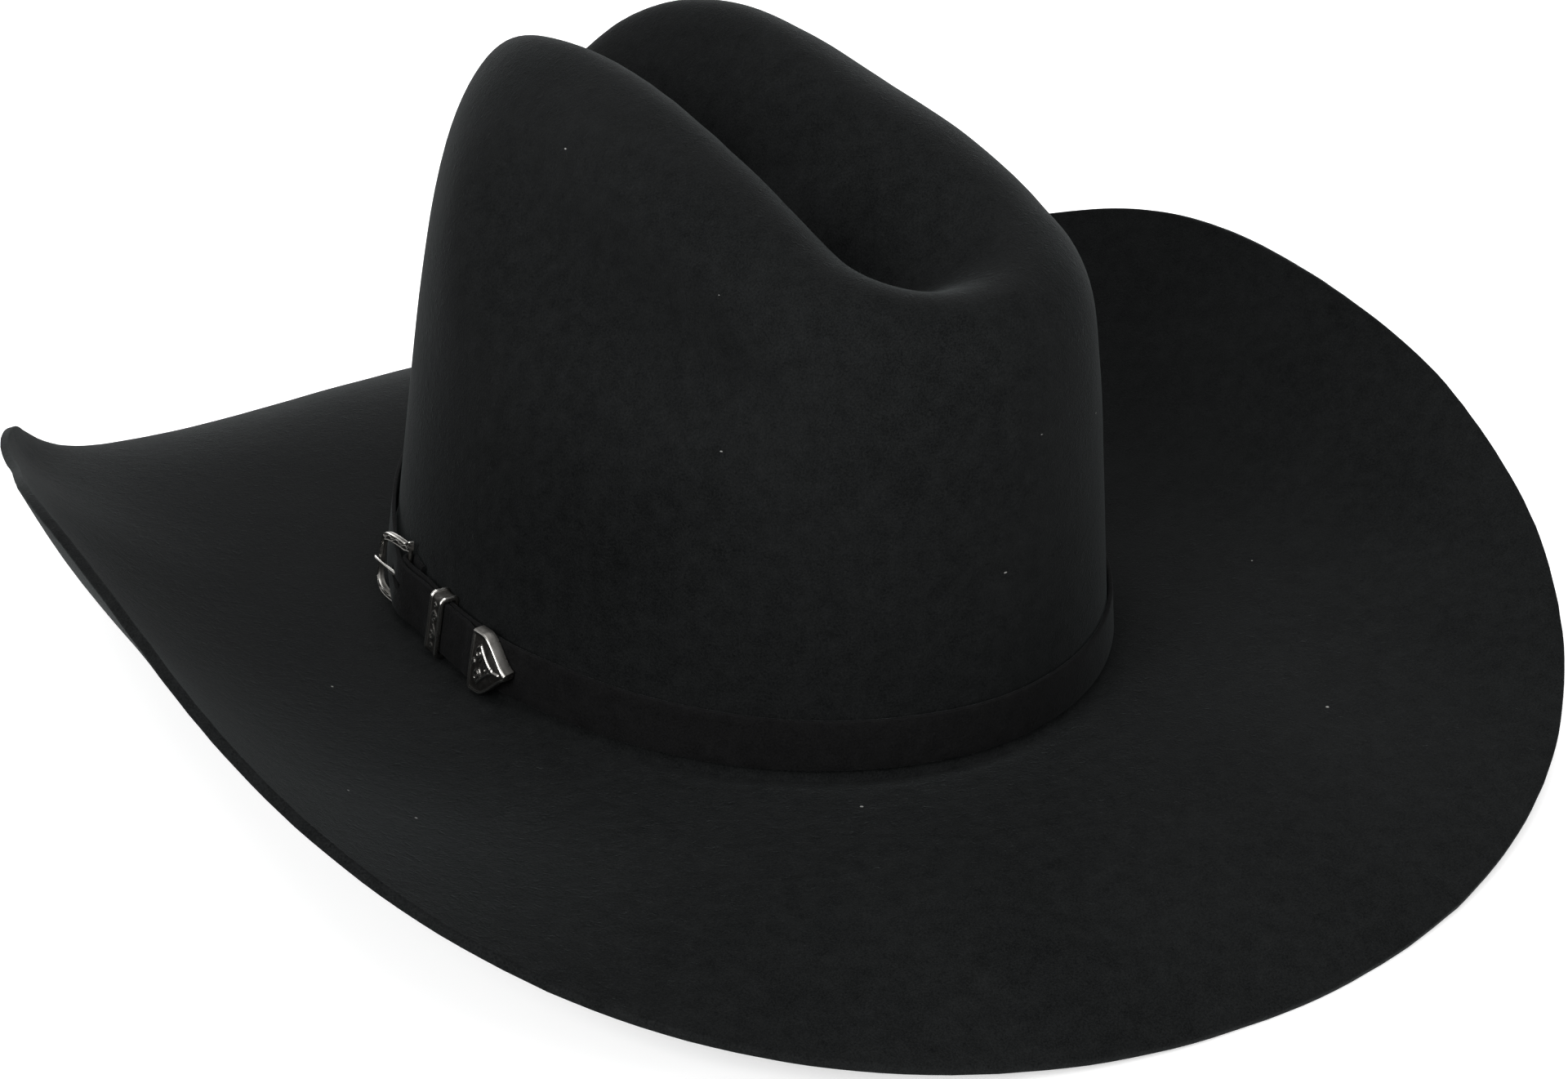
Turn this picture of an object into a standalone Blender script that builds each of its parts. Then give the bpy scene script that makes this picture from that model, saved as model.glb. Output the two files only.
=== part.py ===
"""Cowboy hat: felt body, belt-style band with buckle set, sweatband and lining.

Metres, +Z up, front of the hat toward -Y, wearer's left toward +X.
The hat rests on the low front and back edges of its brim at Z = 0.
Angles run around the head from the front (0) to the wearer's left (90) and the back (180).
"""
import math

import bmesh
import bpy
from mathutils import Matrix, Vector

MM = 0.001
SEGMENTS = 64

# Head oval, measured on the outside of the crown at the brim.
HALF_LENGTH = 103.5
HALF_WIDTH = 85.2
BASE_HEIGHT = 17.28
BASE_TILT = 8.4
BASE_SAG = 2.3
MIDDLE_Y = 4.96

# Felt.
FELT = 2.4
BREAK_RADIUS = 2.5
BRIM_WIDTH = 108.0
BRIM_BACK_EXTRA = 2.6
BRIM_SIDE_EXTRA = 4.0
BRIM_CURL_POWER = 1.38
EDGE_LIP = 0.95

# Crown: ridges, centre crease and side dents.
CROWN_HEIGHT = 147.49
CROWN_FALL = 27.0
CROWN_DROOP = 7.59
CROWN_FLICK = 4.44
RIM_LIFT = 5.2
FRONT_TILT = 0.06
TOP_LENGTH = 0.974
TOP_WIDTH = 0.722
CROWN_LEAN = 5.7
CREASE_DEPTH = 30.0
CREASE_WIDTH = 14.5
CREASE_END = 106.0
CREASE_RUNOUT = 66.0
CREASE_FRONT_FADE = 0.53
DENT_DEPTH = 13.0
DENT_LENGTH = 48.0
DENT_HALF_HEIGHT = 19.0
DENT_HEIGHT = 110.0
DENT_MIDDLE = 24.0
DENT_SLOPE = 8.0
DENT_SHEAR = 0.45
WALL_RISE = 0.27
BACK_RISE = 0.13

# Hat band: a strap worn as a small belt.
STRAP_LOW = 2.5
STRAP_HIGH = 15.0
STRAP = 1.0
MM_PER_DEGREE = 1.79
BAR_ANGLE = 75.2
BAR_RADIUS = 0.6
BAR_OFF = 2.5
FOLD_RADIUS = 1.4
TONGUE_END = 99.0

# Buckle, prong, keeper and tip.
FRAME_LENGTH = 13.0
FRAME_RAIL = 1.5
TOE_OFF = 5.7
PRONG_RADIUS = 0.6
KEEPER_ANGLE = 87.5
KEEPER_WIDTH = 5.2
KEEPER_WALL = 0.7
TIP_START = 97.2
TIP_LENGTH = 12.0
TIP_LIFT = 0.7
METAL_GAP = 0.4

# Sweatband and lining.
SWEAT_HEIGHT = 48.0
LEATHER = 0.9
REED_RADIUS = 1.1
LINING = 0.7
LINING_TOP = 88.0
GAP = 0.35


def smooth(x):
    x = max(0.0, min(1.0, x))
    return x * x * (3.0 - 2.0 * x)


def place(x, y, z):
    return Vector((x, y - MIDDLE_Y, z)) * MM


def base_height(a):
    return BASE_HEIGHT + BASE_TILT * math.cos(a) - BASE_SAG * math.sin(a) ** 2


def outward(a):
    nx = math.sin(a) / HALF_WIDTH
    ny = -math.cos(a) / HALF_LENGTH
    size = math.hypot(nx, ny)
    return nx / size, ny / size


def brim_point(a, t):
    """Top of the brim, t = 0 at the crown and 1 at the cut edge."""
    start = 0.087 - 0.016 * math.cos(a) + 0.068 * math.cos(2 * a)
    end = (0.302 - 0.077 * math.cos(a) - 0.956 * math.cos(2 * a)
           - 0.126 * math.cos(3 * a) + 0.064 * math.cos(4 * a))
    turned = abs(math.degrees(math.atan2(math.sin(a), math.cos(a))))
    lip = EDGE_LIP * math.exp(-((turned - 48.5) / 9.0) ** 2) - 0.35 * math.exp(-((turned - 31.0) / 8.0) ** 2)
    lip += 0.0845 * math.exp(-(turned / 14.0) ** 2)
    width = BRIM_WIDTH - BRIM_BACK_EXTRA * math.cos(a) - BRIM_SIDE_EXTRA * math.cos(2 * a)
    width += 1.5 * math.exp(-((turned - 86.0) / 14.0) ** 2) - 7.5 * math.exp(-((turned - 64.0) / 11.0) ** 2)
    run = rise = 0.0
    steps = 24
    for i in range(steps):
        along = t * (i + 0.5) / steps
        slope = start + (end - start) * along ** BRIM_CURL_POWER
        slope += lip * smooth((along - 0.84) / 0.16)
        run += math.cos(slope) * width * t / steps
        rise += math.sin(slope) * width * t / steps
    nx, ny = outward(a)
    x = HALF_WIDTH * math.sin(a) + nx * run
    y = -HALF_LENGTH * math.cos(a) + ny * run
    return x, y, base_height(a) + rise


def crown_top(x, y):
    """Height of the crown over a point: two ridges with a crease between them."""
    v = y / 100.0
    ridge = CROWN_HEIGHT - CROWN_FALL * v - CROWN_DROOP * v ** 2 + CROWN_FLICK * v ** 3
    ridge += RIM_LIFT * smooth((v - 0.6) / 0.4)
    ridge -= FRONT_TILT * x * smooth((10.0 - y) / 60.0)
    depth = CREASE_DEPTH * smooth((CREASE_END - y) / CREASE_RUNOUT)
    depth *= 1.0 - CREASE_FRONT_FADE * smooth((-y - 48.0) / 45.0)
    width = CREASE_WIDTH + 5.0 * smooth((y - 35.0) / 55.0)
    return ridge - depth * math.exp(-(x / width) ** 2)


def rise_at(a):
    """Power that sets how squarely the wall turns into the top; squarer at the back."""
    return WALL_RISE - BACK_RISE * smooth(-math.cos(a))


def crown_point(a, phi):
    """Outside of the crown: phi runs from 0 at the brim to a quarter turn at the top middle."""
    u = math.sin(phi) ** rise_at(a)
    s = abs(math.cos(phi)) ** (0.63 - 0.26 * smooth(-math.cos(a)))
    y = -s * HALF_LENGTH * (1.0 + (TOP_LENGTH - 1.0) * u) * math.cos(a) + CROWN_LEAN * u
    narrow = TOP_WIDTH + 0.045 * y / 100.0 - 0.113 * smooth(-y / 100.0 + 0.3) * u ** 4
    x = s * HALF_WIDTH * (1.0 + (narrow - 1.0) * u) * math.sin(a)
    z = base_height(a) + u * (crown_top(x, y) - base_height(a))
    along = (y - DENT_MIDDLE + DENT_SHEAR * (z - DENT_HEIGHT)) / DENT_LENGTH
    middle = max(-1.0, min(1.0, (y - DENT_MIDDLE) / DENT_LENGTH))
    level = DENT_HEIGHT - DENT_SLOPE * middle
    tall = DENT_HALF_HEIGHT * (1.0 - 0.38 * middle)
    reach = 0.6 * along ** 2 + along ** 4 + ((z - level) / tall) ** 2
    x -= math.copysign(DENT_DEPTH * math.exp(-reach) * smooth(abs(x) / 30.0), x)
    return x, y, z


def wall_point(a, h, out):
    """A point h above the brim on the crown wall, stood off by out."""
    tall = crown_top(HALF_WIDTH * math.sin(a), -HALF_LENGTH * math.cos(a)) - base_height(a)
    x, y, z = crown_point(a, math.asin((max(h, 0.0) / tall) ** (1.0 / rise_at(a))))
    nx, ny = outward(a)
    return place(x + nx * out, y + ny * out, base_height(a) + h)


def band_point(s, h, out):
    """Strap coordinates: s along the band from the heel bar, h up the wall, out from it."""
    return wall_point(math.radians(BAR_ANGLE + s / MM_PER_DEGREE), h, out)


def make_object(name, mesh, colour, roughness, metallic=0.0):
    material = bpy.data.materials.new(name + "_finish")
    material.use_nodes = True
    shader = material.node_tree.nodes["Principled BSDF"]
    shader.inputs["Base Color"].default_value = (*colour, 1.0)
    shader.inputs["Roughness"].default_value = roughness
    shader.inputs["Metallic"].default_value = metallic
    mesh.materials.append(material)
    ob = bpy.data.objects.new(name, mesh)
    parts.objects.link(ob)
    return ob


def finish_mesh(bm, name, sharp=40.0):
    if all(edge.is_manifold for edge in bm.edges):
        bmesh.ops.recalc_face_normals(bm, faces=bm.faces)
    mesh = bpy.data.meshes.new(name)
    bm.to_mesh(mesh)
    bm.free()
    mesh.shade_smooth()
    mesh.set_sharp_from_angle(angle=math.radians(sharp))
    return mesh


def loft(rings, peak=None):
    """Skin over closed rings; a peak closes the last ring to a point.

    Rings turn anticlockwise seen from above and run inward or up, so the faces look out.
    """
    bm = bmesh.new()
    rows = [[bm.verts.new(p) for p in ring] for ring in rings]
    count = len(rows[0])
    for low, high in zip(rows, rows[1:]):
        for i in range(count):
            j = (i + 1) % count
            bm.faces.new((low[i], low[j], high[j], high[i]))
    if peak is not None:
        top = bm.verts.new(peak)
        for i in range(count):
            bm.faces.new((rows[-1][i], rows[-1][(i + 1) % count], top))
    return bm


def sweep(name, sections, closed):
    """Solid through a row of like sections, capped when its ends don't meet."""
    bm = bmesh.new()
    rows = [[bm.verts.new(p) for p in section] for section in sections]
    pairs = list(zip(rows, rows[1:]))
    if closed:
        pairs.append((rows[-1], rows[0]))
    count = len(rows[0])
    for first, second in pairs:
        for i in range(count):
            j = (i + 1) % count
            bm.faces.new((first[i], first[j], second[j], second[i]))
    if not closed:
        bm.faces.new(rows[0])
        bm.faces.new(rows[-1])
    return finish_mesh(bm, name)


def around(count=SEGMENTS):
    return [2.0 * math.pi * i / count for i in range(count)]


def add_shell(ob, thickness):
    shell = ob.modifiers.new("Shell", "SOLIDIFY")
    shell.thickness = thickness * MM
    shell.offset = -1.0
    shell.use_even_offset = True


def cut(ob, cutter):
    boolean = ob.modifiers.new("Cut", "BOOLEAN")
    boolean.operation = "DIFFERENCE"
    boolean.solver = "EXACT"
    boolean.object = cutter


def make_cutter(name, mesh):
    ob = bpy.data.objects.new(name, mesh)
    cutters.objects.link(ob)
    ob.hide_render = True
    ob.display_type = "WIRE"
    return ob


def build_felt():
    rings = [[place(*brim_point(a, t)) for a in around()]
             for t in (1.0, 0.95, 0.87, 0.77, 0.66, 0.54, 0.42, 0.3, 0.18, 0.08)]
    for step in range(4):
        turn = math.radians(30.0 * step)
        out = BREAK_RADIUS * (1.0 - math.sin(turn))
        up = BREAK_RADIUS * (1.0 - math.cos(turn))
        rings.append([wall_point(a, up, out) for a in around()])
    for u in (0.1, 0.19, 0.28, 0.37, 0.46, 0.54, 0.62, 0.68):
        rings.append([place(*crown_point(a, math.asin(u ** (1.0 / rise_at(a))))) for a in around()])
    for part in (0.04, 0.09, 0.15, 0.22, 0.3, 0.39, 0.49, 0.59, 0.69, 0.78, 0.87, 0.94):
        ring = []
        for a in around():
            first = math.asin(0.72 ** (1.0 / rise_at(a)))
            ring.append(place(*crown_point(a, first + (math.pi / 2 - first) * part)))
        rings.append(ring)
    bm = loft(rings, place(*crown_point(0.0, math.pi / 2)))
    ob = make_object("felt_body", finish_mesh(bm, "felt_body", 60.0), (0.011, 0.012, 0.0125), 0.95)
    add_shell(ob, FELT)
    return ob


def strap_course():
    """Centre line of the strap as (s, out) pairs, from the tucked tail to the tongue's end."""
    course = [(x, BAR_OFF - FOLD_RADIUS) for x in (6.0, 4.0, 2.0)]
    for step in range(9):
        turn = math.pi * step / 8
        course.append((-FOLD_RADIUS * math.sin(turn), BAR_OFF - FOLD_RADIUS * math.cos(turn)))
    end = (360.0 + TONGUE_END - BAR_ANGLE) * MM_PER_DEGREE
    heel = 360.0 * MM_PER_DEGREE
    lift = BAR_OFF + FOLD_RADIUS
    low = 0.5 + STRAP / 2
    keeper_low = METAL_GAP + KEEPER_WALL + METAL_GAP + STRAP / 2
    tongue_high = lift + STRAP + GAP
    tongue_low = keeper_low + STRAP + GAP
    s = 1.5
    while s < end:
        if s < 45.0:
            out = lift + (keeper_low - lift) * smooth(s / 14.0)
        elif s < 66.0:
            out = keeper_low + (low - keeper_low) * smooth((s - 45.0) / 21.0)
        elif s < heel - 63.0:
            out = low
        elif s < heel:
            out = low + (tongue_high - low) * ((s - heel + 63.0) / 63.0) ** 3
        elif s < heel + 2.5:
            out = tongue_high
        elif s < heel + 16.0:
            out = tongue_high + (tongue_low - tongue_high) * smooth((s - heel - 2.5) / 13.5)
        else:
            out = tongue_low
        out += TIP_LIFT * smooth((s - heel - 33.5) / 4.0)
        course.append((s, out))
        near = s < 66.0 or s > heel - 66.0
        s += 2.2 if near else 8.0
    course.append((end, tongue_low + TIP_LIFT))
    return course


def build_strap():
    course = strap_course()
    sections = []
    for i, (s, out) in enumerate(course):
        before = course[max(i - 1, 0)]
        after = course[min(i + 1, len(course) - 1)]
        ds, do = after[0] - before[0], after[1] - before[1]
        size = math.hypot(ds, do)
        ns, no = -do / size * STRAP / 2, ds / size * STRAP / 2
        sections.append([
            band_point(s - ns, STRAP_LOW, out - no),
            band_point(s + ns, STRAP_LOW, out + no),
            band_point(s + ns, STRAP_HIGH, out + no),
            band_point(s - ns, STRAP_HIGH, out - no),
        ])
    ob = make_object("hat_band_strap", sweep("hat_band_strap", sections, False),
                     (0.010, 0.010, 0.011), 0.9)
    middle = (STRAP_LOW + STRAP_HIGH) / 2
    slot = sweep("prong_slot", [
        [band_point(s, middle + h, out) for h, out in ((-1.2, 0.0), (1.2, 0.0), (1.2, 9.0), (-1.2, 9.0))]
        for s in (-7.4, -4.0, -1.0, 2.0, 3.3)], False)
    cut(ob, make_cutter("prong_slot", slot))
    return ob


def frame_course():
    """Outline of the buckle frame from the top of the heel bar, round the toe, to its foot."""
    low, high = STRAP_LOW - METAL_GAP, STRAP_HIGH + METAL_GAP
    half = FRAME_RAIL / 2
    middle = (low + high) / 2
    reach = (high - low) / 2 + half
    course = []
    for step in range(17):
        turn = math.pi * (0.5 - step / 16)
        flat = math.copysign(abs(math.sin(turn)) ** 0.45, math.sin(turn))
        along = abs(math.cos(turn)) ** 0.6
        course.append((-3.0 - (FRAME_LENGTH - 3.0) * along, middle + reach * flat))
    flare = 0.7
    course.insert(0, (0.0, course[0][1] + flare))
    course.append((0.0, course[-1][1] - flare * 0.2))
    return course


def frame_off(s):
    """How far the frame stands off: it climbs from the heel bar over the tongue at the toe."""
    return BAR_OFF + (TOE_OFF - BAR_OFF) * smooth(-s / FRAME_LENGTH)


def build_buckle():
    course = frame_course()
    sections = []
    half = FRAME_RAIL / 2
    for i, (s, h) in enumerate(course):
        before = course[max(i - 1, 0)]
        after = course[min(i + 1, len(course) - 1)]
        ds, dh = after[0] - before[0], after[1] - before[1]
        size = math.hypot(ds, dh)
        ns, nh = -dh / size * half, ds / size * half
        out = frame_off(s)
        ring = []
        for step in range(8):
            turn = 2.0 * math.pi * (step + 0.5) / 8
            wide, deep = math.cos(turn), math.sin(turn)
            ring.append(band_point(s + ns * wide, h + nh * wide, out + 0.6 * deep))
        sections.append(ring)
    rail = make_object("buckle_frame", sweep("buckle_frame", sections, False),
                       (0.42, 0.41, 0.39), 0.3, 1.0)
    foot = band_point(0.0, course[-1][1] + 0.2, BAR_OFF)
    head = band_point(0.0, course[0][1] - 0.2, BAR_OFF)
    bar = rod_mesh("heel_bar", foot, head, BAR_RADIUS)
    tool = make_cutter("heel_bar", bar)
    join = rail.modifiers.new("Heel bar", "BOOLEAN")
    join.operation = "UNION"
    join.solver = "EXACT"
    join.object = tool
    return rail, foot, head


def rod_mesh(name, start, end, radius, sides=14):
    bm = bmesh.new()
    length = (end - start).length
    bmesh.ops.create_cone(bm, cap_ends=True, segments=sides, radius1=radius * MM,
                          radius2=radius * MM, depth=length)
    turn = (end - start).to_track_quat("Z", "Y").to_matrix().to_4x4()
    bmesh.ops.transform(bm, matrix=Matrix.Translation((start + end) / 2) @ turn, verts=bm.verts)
    return finish_mesh(bm, name)


def build_prong(foot, head):
    """Round wire bent once about the heel bar, its point resting over the toe bar."""
    axis = (head - foot).normalized()
    middle = (STRAP_LOW + STRAP_HIGH) / 2
    pivot = foot + axis * (band_point(0.0, middle, BAR_OFF) - foot).dot(axis)
    off = (band_point(0.0, middle, BAR_OFF + 1.0) - band_point(0.0, middle, BAR_OFF)) / MM
    off = (off - axis * off.dot(axis)).normalized()
    along = off.cross(axis).normalized()
    toe = band_point(-FRAME_LENGTH, middle, TOE_OFF + 1.55) - pivot
    if toe.dot(along) < 0:
        along = -along
    bend = (BAR_RADIUS + METAL_GAP + PRONG_RADIUS) * MM
    path = []
    for step in range(11):
        turn = math.radians(-215.0 + 265.0 * step / 10)
        path.append(bend * (along * math.sin(turn) + off * math.cos(turn)))
    reach, rise = toe.dot(along), toe.dot(off)
    start = path[-1]
    for part in (0.25, 0.5, 0.75, 1.0, 1.12):
        mix = start.dot(along) + (reach - start.dot(along)) * part
        lift = start.dot(off) + (rise - start.dot(off)) * min(1.0, part ** 0.8)
        path.append(along * mix + off * lift)
    curve = bpy.data.curves.new("buckle_prong", "CURVE")
    curve.dimensions = "3D"
    curve.bevel_depth = PRONG_RADIUS * MM
    curve.bevel_resolution = 2
    curve.use_fill_caps = True
    spline = curve.splines.new("POLY")
    spline.points.add(len(path) - 1)
    for point, co in zip(spline.points, path):
        point.co = (*co, 1.0)
    ob = make_object("buckle_prong", curve, (0.42, 0.41, 0.39), 0.3, 1.0)
    ob.location = pivot
    return ob, pivot, axis


def build_keeper():
    """Flat metal loop round both layers of the strap."""
    low, high = STRAP_LOW - METAL_GAP, STRAP_HIGH + METAL_GAP
    inner_off = METAL_GAP + KEEPER_WALL
    outer_off = inner_off + 2 * METAL_GAP + 2 * STRAP + GAP
    corner = 0.4
    centre = (KEEPER_ANGLE - BAR_ANGLE) * MM_PER_DEGREE
    path = []
    for h, out, start in ((high, outer_off, 0), (low, outer_off, 90), (low, inner_off, 180), (high, inner_off, 270)):
        h_in = h - math.copysign(corner, h - middle_of(low, high))
        out_in = out - math.copysign(corner, out - middle_of(inner_off, outer_off))
        for step in range(3):
            turn = math.radians(start + 45.0 * step)
            path.append((h_in, out_in, math.cos(turn), math.sin(turn)))
    sections = []
    for h, out, ch, co in path:
        ring = []
        for ds, grow in ((-1, 0.0), (1, 0.0), (1, KEEPER_WALL), (-1, KEEPER_WALL)):
            radius = corner + grow
            ring.append(band_point(centre + ds * KEEPER_WIDTH / 2, h + radius * ch, out + radius * co))
        sections.append(ring)
    mesh = sweep("strap_keeper", sections, True)
    arc = bpy.data.objects.new("keeper_arc_centre", None)
    parts.objects.link(arc)
    axis = Vector((0.0, BASE_TILT / HALF_LENGTH, 1.0)).normalized()
    centre = place(HALF_WIDTH - HALF_LENGTH ** 2 / HALF_WIDTH, 0.3, base_height(math.pi / 2) + 8.75)
    arc.matrix_world = Matrix.Translation(centre) @ axis.to_track_quat("Z", "Y").to_matrix().to_4x4()
    mesh.transform(arc.matrix_world.inverted())
    ob = make_object("strap_keeper", mesh, (0.45, 0.44, 0.41), 0.28, 1.0)
    ob.parent = arc
    return ob, centre, axis


def middle_of(a, b):
    return (a + b) / 2


def build_tip():
    """Pointed metal cap with a pocket for the tongue's end."""
    start = (TIP_START - BAR_ANGLE) * MM_PER_DEGREE
    middle = (STRAP_LOW + STRAP_HIGH) / 2
    half = (STRAP_HIGH - STRAP_LOW) / 2 + METAL_GAP + 0.5
    keeper_low = METAL_GAP + KEEPER_WALL + METAL_GAP + STRAP / 2
    tongue = keeper_low + STRAP + GAP + TIP_LIFT
    back = tongue - STRAP / 2 - METAL_GAP - 0.3
    front = tongue + STRAP / 2 + METAL_GAP + 0.7
    sections = []
    for part in (0.0, 0.12, 0.3, 0.45, 0.6, 0.75, 0.88, 0.97, 1.0):
        wide = half * (1.0 - smooth((part - 0.25) / 0.85)) + 0.5
        dome = 0.35 * math.sin(math.pi * (0.1 + 0.8 * part))
        s = start + TIP_LENGTH * part
        sections.append([
            band_point(s, middle - wide, back),
            band_point(s, middle - wide, front - 0.3),
            band_point(s, middle - wide * 0.7, front + dome * 0.6),
            band_point(s, middle, front + dome),
            band_point(s, middle + wide * 0.7, front + dome * 0.6),
            band_point(s, middle + wide, front - 0.3),
            band_point(s, middle + wide, back),
            band_point(s, middle, back),
        ])
    ob = make_object("strap_tip", sweep("strap_tip", sections, False), (0.45, 0.44, 0.41), 0.28, 1.0)
    end = (TONGUE_END - BAR_ANGLE) * MM_PER_DEGREE + METAL_GAP
    deep = STRAP / 2 + METAL_GAP + 0.1
    pocket = sweep("tip_pocket", [
        [band_point(s, h, out) for h, out in (
            (STRAP_LOW - METAL_GAP, tongue - deep), (STRAP_LOW - METAL_GAP, tongue + deep),
            (STRAP_HIGH + METAL_GAP, tongue + deep), (STRAP_HIGH + METAL_GAP, tongue - deep))]
        for s in (start - 2.0, start + 1.5, end)], False)
    cut(ob, make_cutter("tip_pocket", pocket))
    return ob


def round_section(radius, count=8):
    return [(radius * math.cos(2 * math.pi * i / count), radius * math.sin(2 * math.pi * i / count))
            for i in range(count)]


def inner_point(a, h, depth):
    """A point inside the crown, depth in from the inner face of the felt."""
    return wall_point(a, h, -FELT - depth)


def seam_angles(gap_degrees=0.35):
    """Stations from one side of the centre back seam round to the other."""
    first = math.pi + math.radians(gap_degrees)
    whole = 2.0 * math.pi - 2.0 * math.radians(gap_degrees)
    return [first + whole * i / SEGMENTS for i in range(SEGMENTS + 1)]


def build_sweatband():
    """Leather strip whose lower edge rolls outward round the reed and turns back up."""
    roll = REED_RADIUS + GAP
    centre_depth = 0.3 + GAP + LEATHER + roll
    centre_h = 2.0
    outer = []
    inner = []
    for step in range(7):
        turn = math.radians(30.0 * step)
        outer.append((centre_h - (roll + LEATHER) * math.sin(turn), centre_depth - (roll + LEATHER) * math.cos(turn)))
        inner.append((centre_h - roll * math.sin(turn), centre_depth - roll * math.cos(turn)))
    flap = 9.0
    outside = [(flap, outer[0][1])] + outer
    inside = [(flap, inner[0][1])] + inner
    outside += [(14.0, 2.6 + LEATHER), (24.0, 1.6 + LEATHER), (36.0, 1.5 + LEATHER), (SWEAT_HEIGHT, 1.5 + LEATHER)]
    inside += [(14.0, 2.6), (24.0, 1.6), (36.0, 1.5), (SWEAT_HEIGHT, 1.5)]
    profile = outside + inside[::-1]
    sections = [[inner_point(a, h, d) for h, d in profile] for a in seam_angles()]
    return make_object("sweatband", sweep("sweatband", sections, False), (0.02, 0.017, 0.015), 0.45)


def build_reed():
    roll = REED_RADIUS + GAP
    depth = 0.3 + GAP + LEATHER + roll
    sections = [[inner_point(a, 2.0 + h, depth + d) for h, d in round_section(REED_RADIUS)]
                for a in seam_angles(1.2)]
    return make_object("sweatband_reed", sweep("sweatband_reed", sections, False), (0.6, 0.6, 0.58), 0.4)


def build_seam_patch():
    """Leather patch over the centre back joint of the sweatband."""
    low, high = 6.5, SWEAT_HEIGHT - 4.0
    sections = []
    for part in range(7):
        h = low + (high - low) * part / 6
        wide = math.radians(4.2)
        depth = sweat_depth(h) + GAP + 0.3
        sections.append([
            inner_point(math.pi - wide, h, depth), inner_point(math.pi, h, depth),
            inner_point(math.pi + wide, h, depth), inner_point(math.pi + wide, h, depth + 0.7),
            inner_point(math.pi, h, depth + 0.7), inner_point(math.pi - wide, h, depth + 0.7)])
    return make_object("sweatband_seam_patch", sweep("sweatband_seam_patch", sections, False),
                       (0.02, 0.017, 0.015), 0.5)


def sweat_depth(h):
    """Depth of the sweatband's inner face."""
    knots = ((2.0, 4.95), (14.0, 3.5), (24.0, 2.5), (36.0, 2.4), (SWEAT_HEIGHT, 2.4))
    for (h0, d0), (h1, d1) in zip(knots, knots[1:]):
        if h <= h1:
            return d0 + (d1 - d0) * (h - h0) / (h1 - h0)
    return knots[-1][1]


def build_bow():
    """Small ribbon bow at the foot of the seam patch: two loops and a knot in one piece."""
    depth = sweat_depth(9.0) + GAP + 0.3 + 0.7 + GAP + 0.3
    sections = []
    for part in range(13):
        x = -1.0 + part / 6
        tall = 1.1 + 2.6 * math.sin(math.pi * min(1.0, abs(x) * 1.15)) + 0.5 * (abs(x) < 0.1)
        thick = 0.7 + 0.9 * math.sin(math.pi * min(1.0, abs(x) * 1.1)) + 0.5 * (abs(x) < 0.1)
        a = math.pi + math.radians(5.0) * x
        sections.append([inner_point(a, 10.5 - tall, depth), inner_point(a, 10.5 - tall * 0.6, depth + thick),
                         inner_point(a, 10.5 + tall * 0.6, depth + thick), inner_point(a, 10.5 + tall, depth)])
    return make_object("sweatband_bow", sweep("sweatband_bow", sections, False), (0.012, 0.012, 0.013), 0.6)


def lining_rim(a, grow=0.0):
    """Seam line between the side and the tip of the lining."""
    x = (47.0 + grow) * math.sin(a)
    y = -(83.0 + grow) * math.cos(a) + 4.0
    return x, y, LINING_TOP + 3.0


def build_lining():
    outside = [[inner_point(a, 30.0, GAP) for a in around()]]
    for step in range(7):
        part = step / 6
        ring = []
        for a in around():
            foot = inner_point(a, SWEAT_HEIGHT + 3.0, GAP)
            x, y, z = lining_rim(a, LINING)
            seam = place(x, y, z - 1.5)
            inward = part ** 1.6
            ring.append(Vector((foot.x + (seam.x - foot.x) * inward, foot.y + (seam.y - foot.y) * inward,
                                foot.z + (seam.z - foot.z) * part)))
        outside.append(ring)
    side = make_object("lining_side", finish_mesh(loft(outside), "lining_side", 60.0),
                       (0.018, 0.018, 0.02), 0.35)
    add_shell(side, LINING)
    rings = []
    for s in (0.985, 0.93, 0.8, 0.62, 0.42, 0.2):
        ring = []
        for a in around(48):
            x, y, z = lining_rim(a)
            lift = 5.0 * (1.0 - smooth((s - 0.42) / 0.56))
            ring.append(place(x * s, 4.0 + (y - 4.0) * s, z + 0.4 + lift))
        rings.append(ring)
    bm = loft(rings, place(0.0, 4.0, LINING_TOP + 3.4 + 5.0))
    tip = make_object("lining_tip", finish_mesh(bm, "lining_tip", 60.0), (0.018, 0.018, 0.02), 0.3)
    add_shell(tip, LINING)
    return side, tip


def build_crest_shield():
    """Clear plate sewn under the middle of the lining's tip."""
    bm = bmesh.new()
    bmesh.ops.create_circle(bm, cap_ends=True, segments=32, radius=1.0)
    for v in bm.verts:
        a = math.atan2(v.co.y, v.co.x)
        size = 1.0 / (abs(math.cos(a)) ** 1.25 + abs(math.sin(a)) ** 1.25) ** 0.8
        v.co = place(17.0 * size * math.cos(a), 4.0 + 24.0 * size * math.sin(a), LINING_TOP + 3.4 + 5.0 - LINING - GAP)
    ob = make_object("lining_crest_shield", finish_mesh(bm, "lining_crest_shield"), (0.6, 0.6, 0.6), 0.1)
    solid = ob.modifiers.new("Plate", "SOLIDIFY")
    solid.thickness = 0.5 * MM
    solid.offset = -1.0
    return ob


def clear_scene():
    for ob in list(bpy.data.objects):
        bpy.data.objects.remove(ob, do_unlink=True)


clear_scene()
parts = bpy.data.collections.new("cowboy_hat")
cutters = bpy.data.collections.new("cutters")
bpy.context.scene.collection.children.link(parts)
bpy.context.scene.collection.children.link(cutters)

build_felt()
build_strap()
_, bar_foot, bar_head = build_buckle()
build_prong(bar_foot, bar_head)
build_keeper()
build_tip()
build_sweatband()
build_reed()
build_seam_patch()
build_bow()
build_lining()
build_crest_shield()
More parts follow.
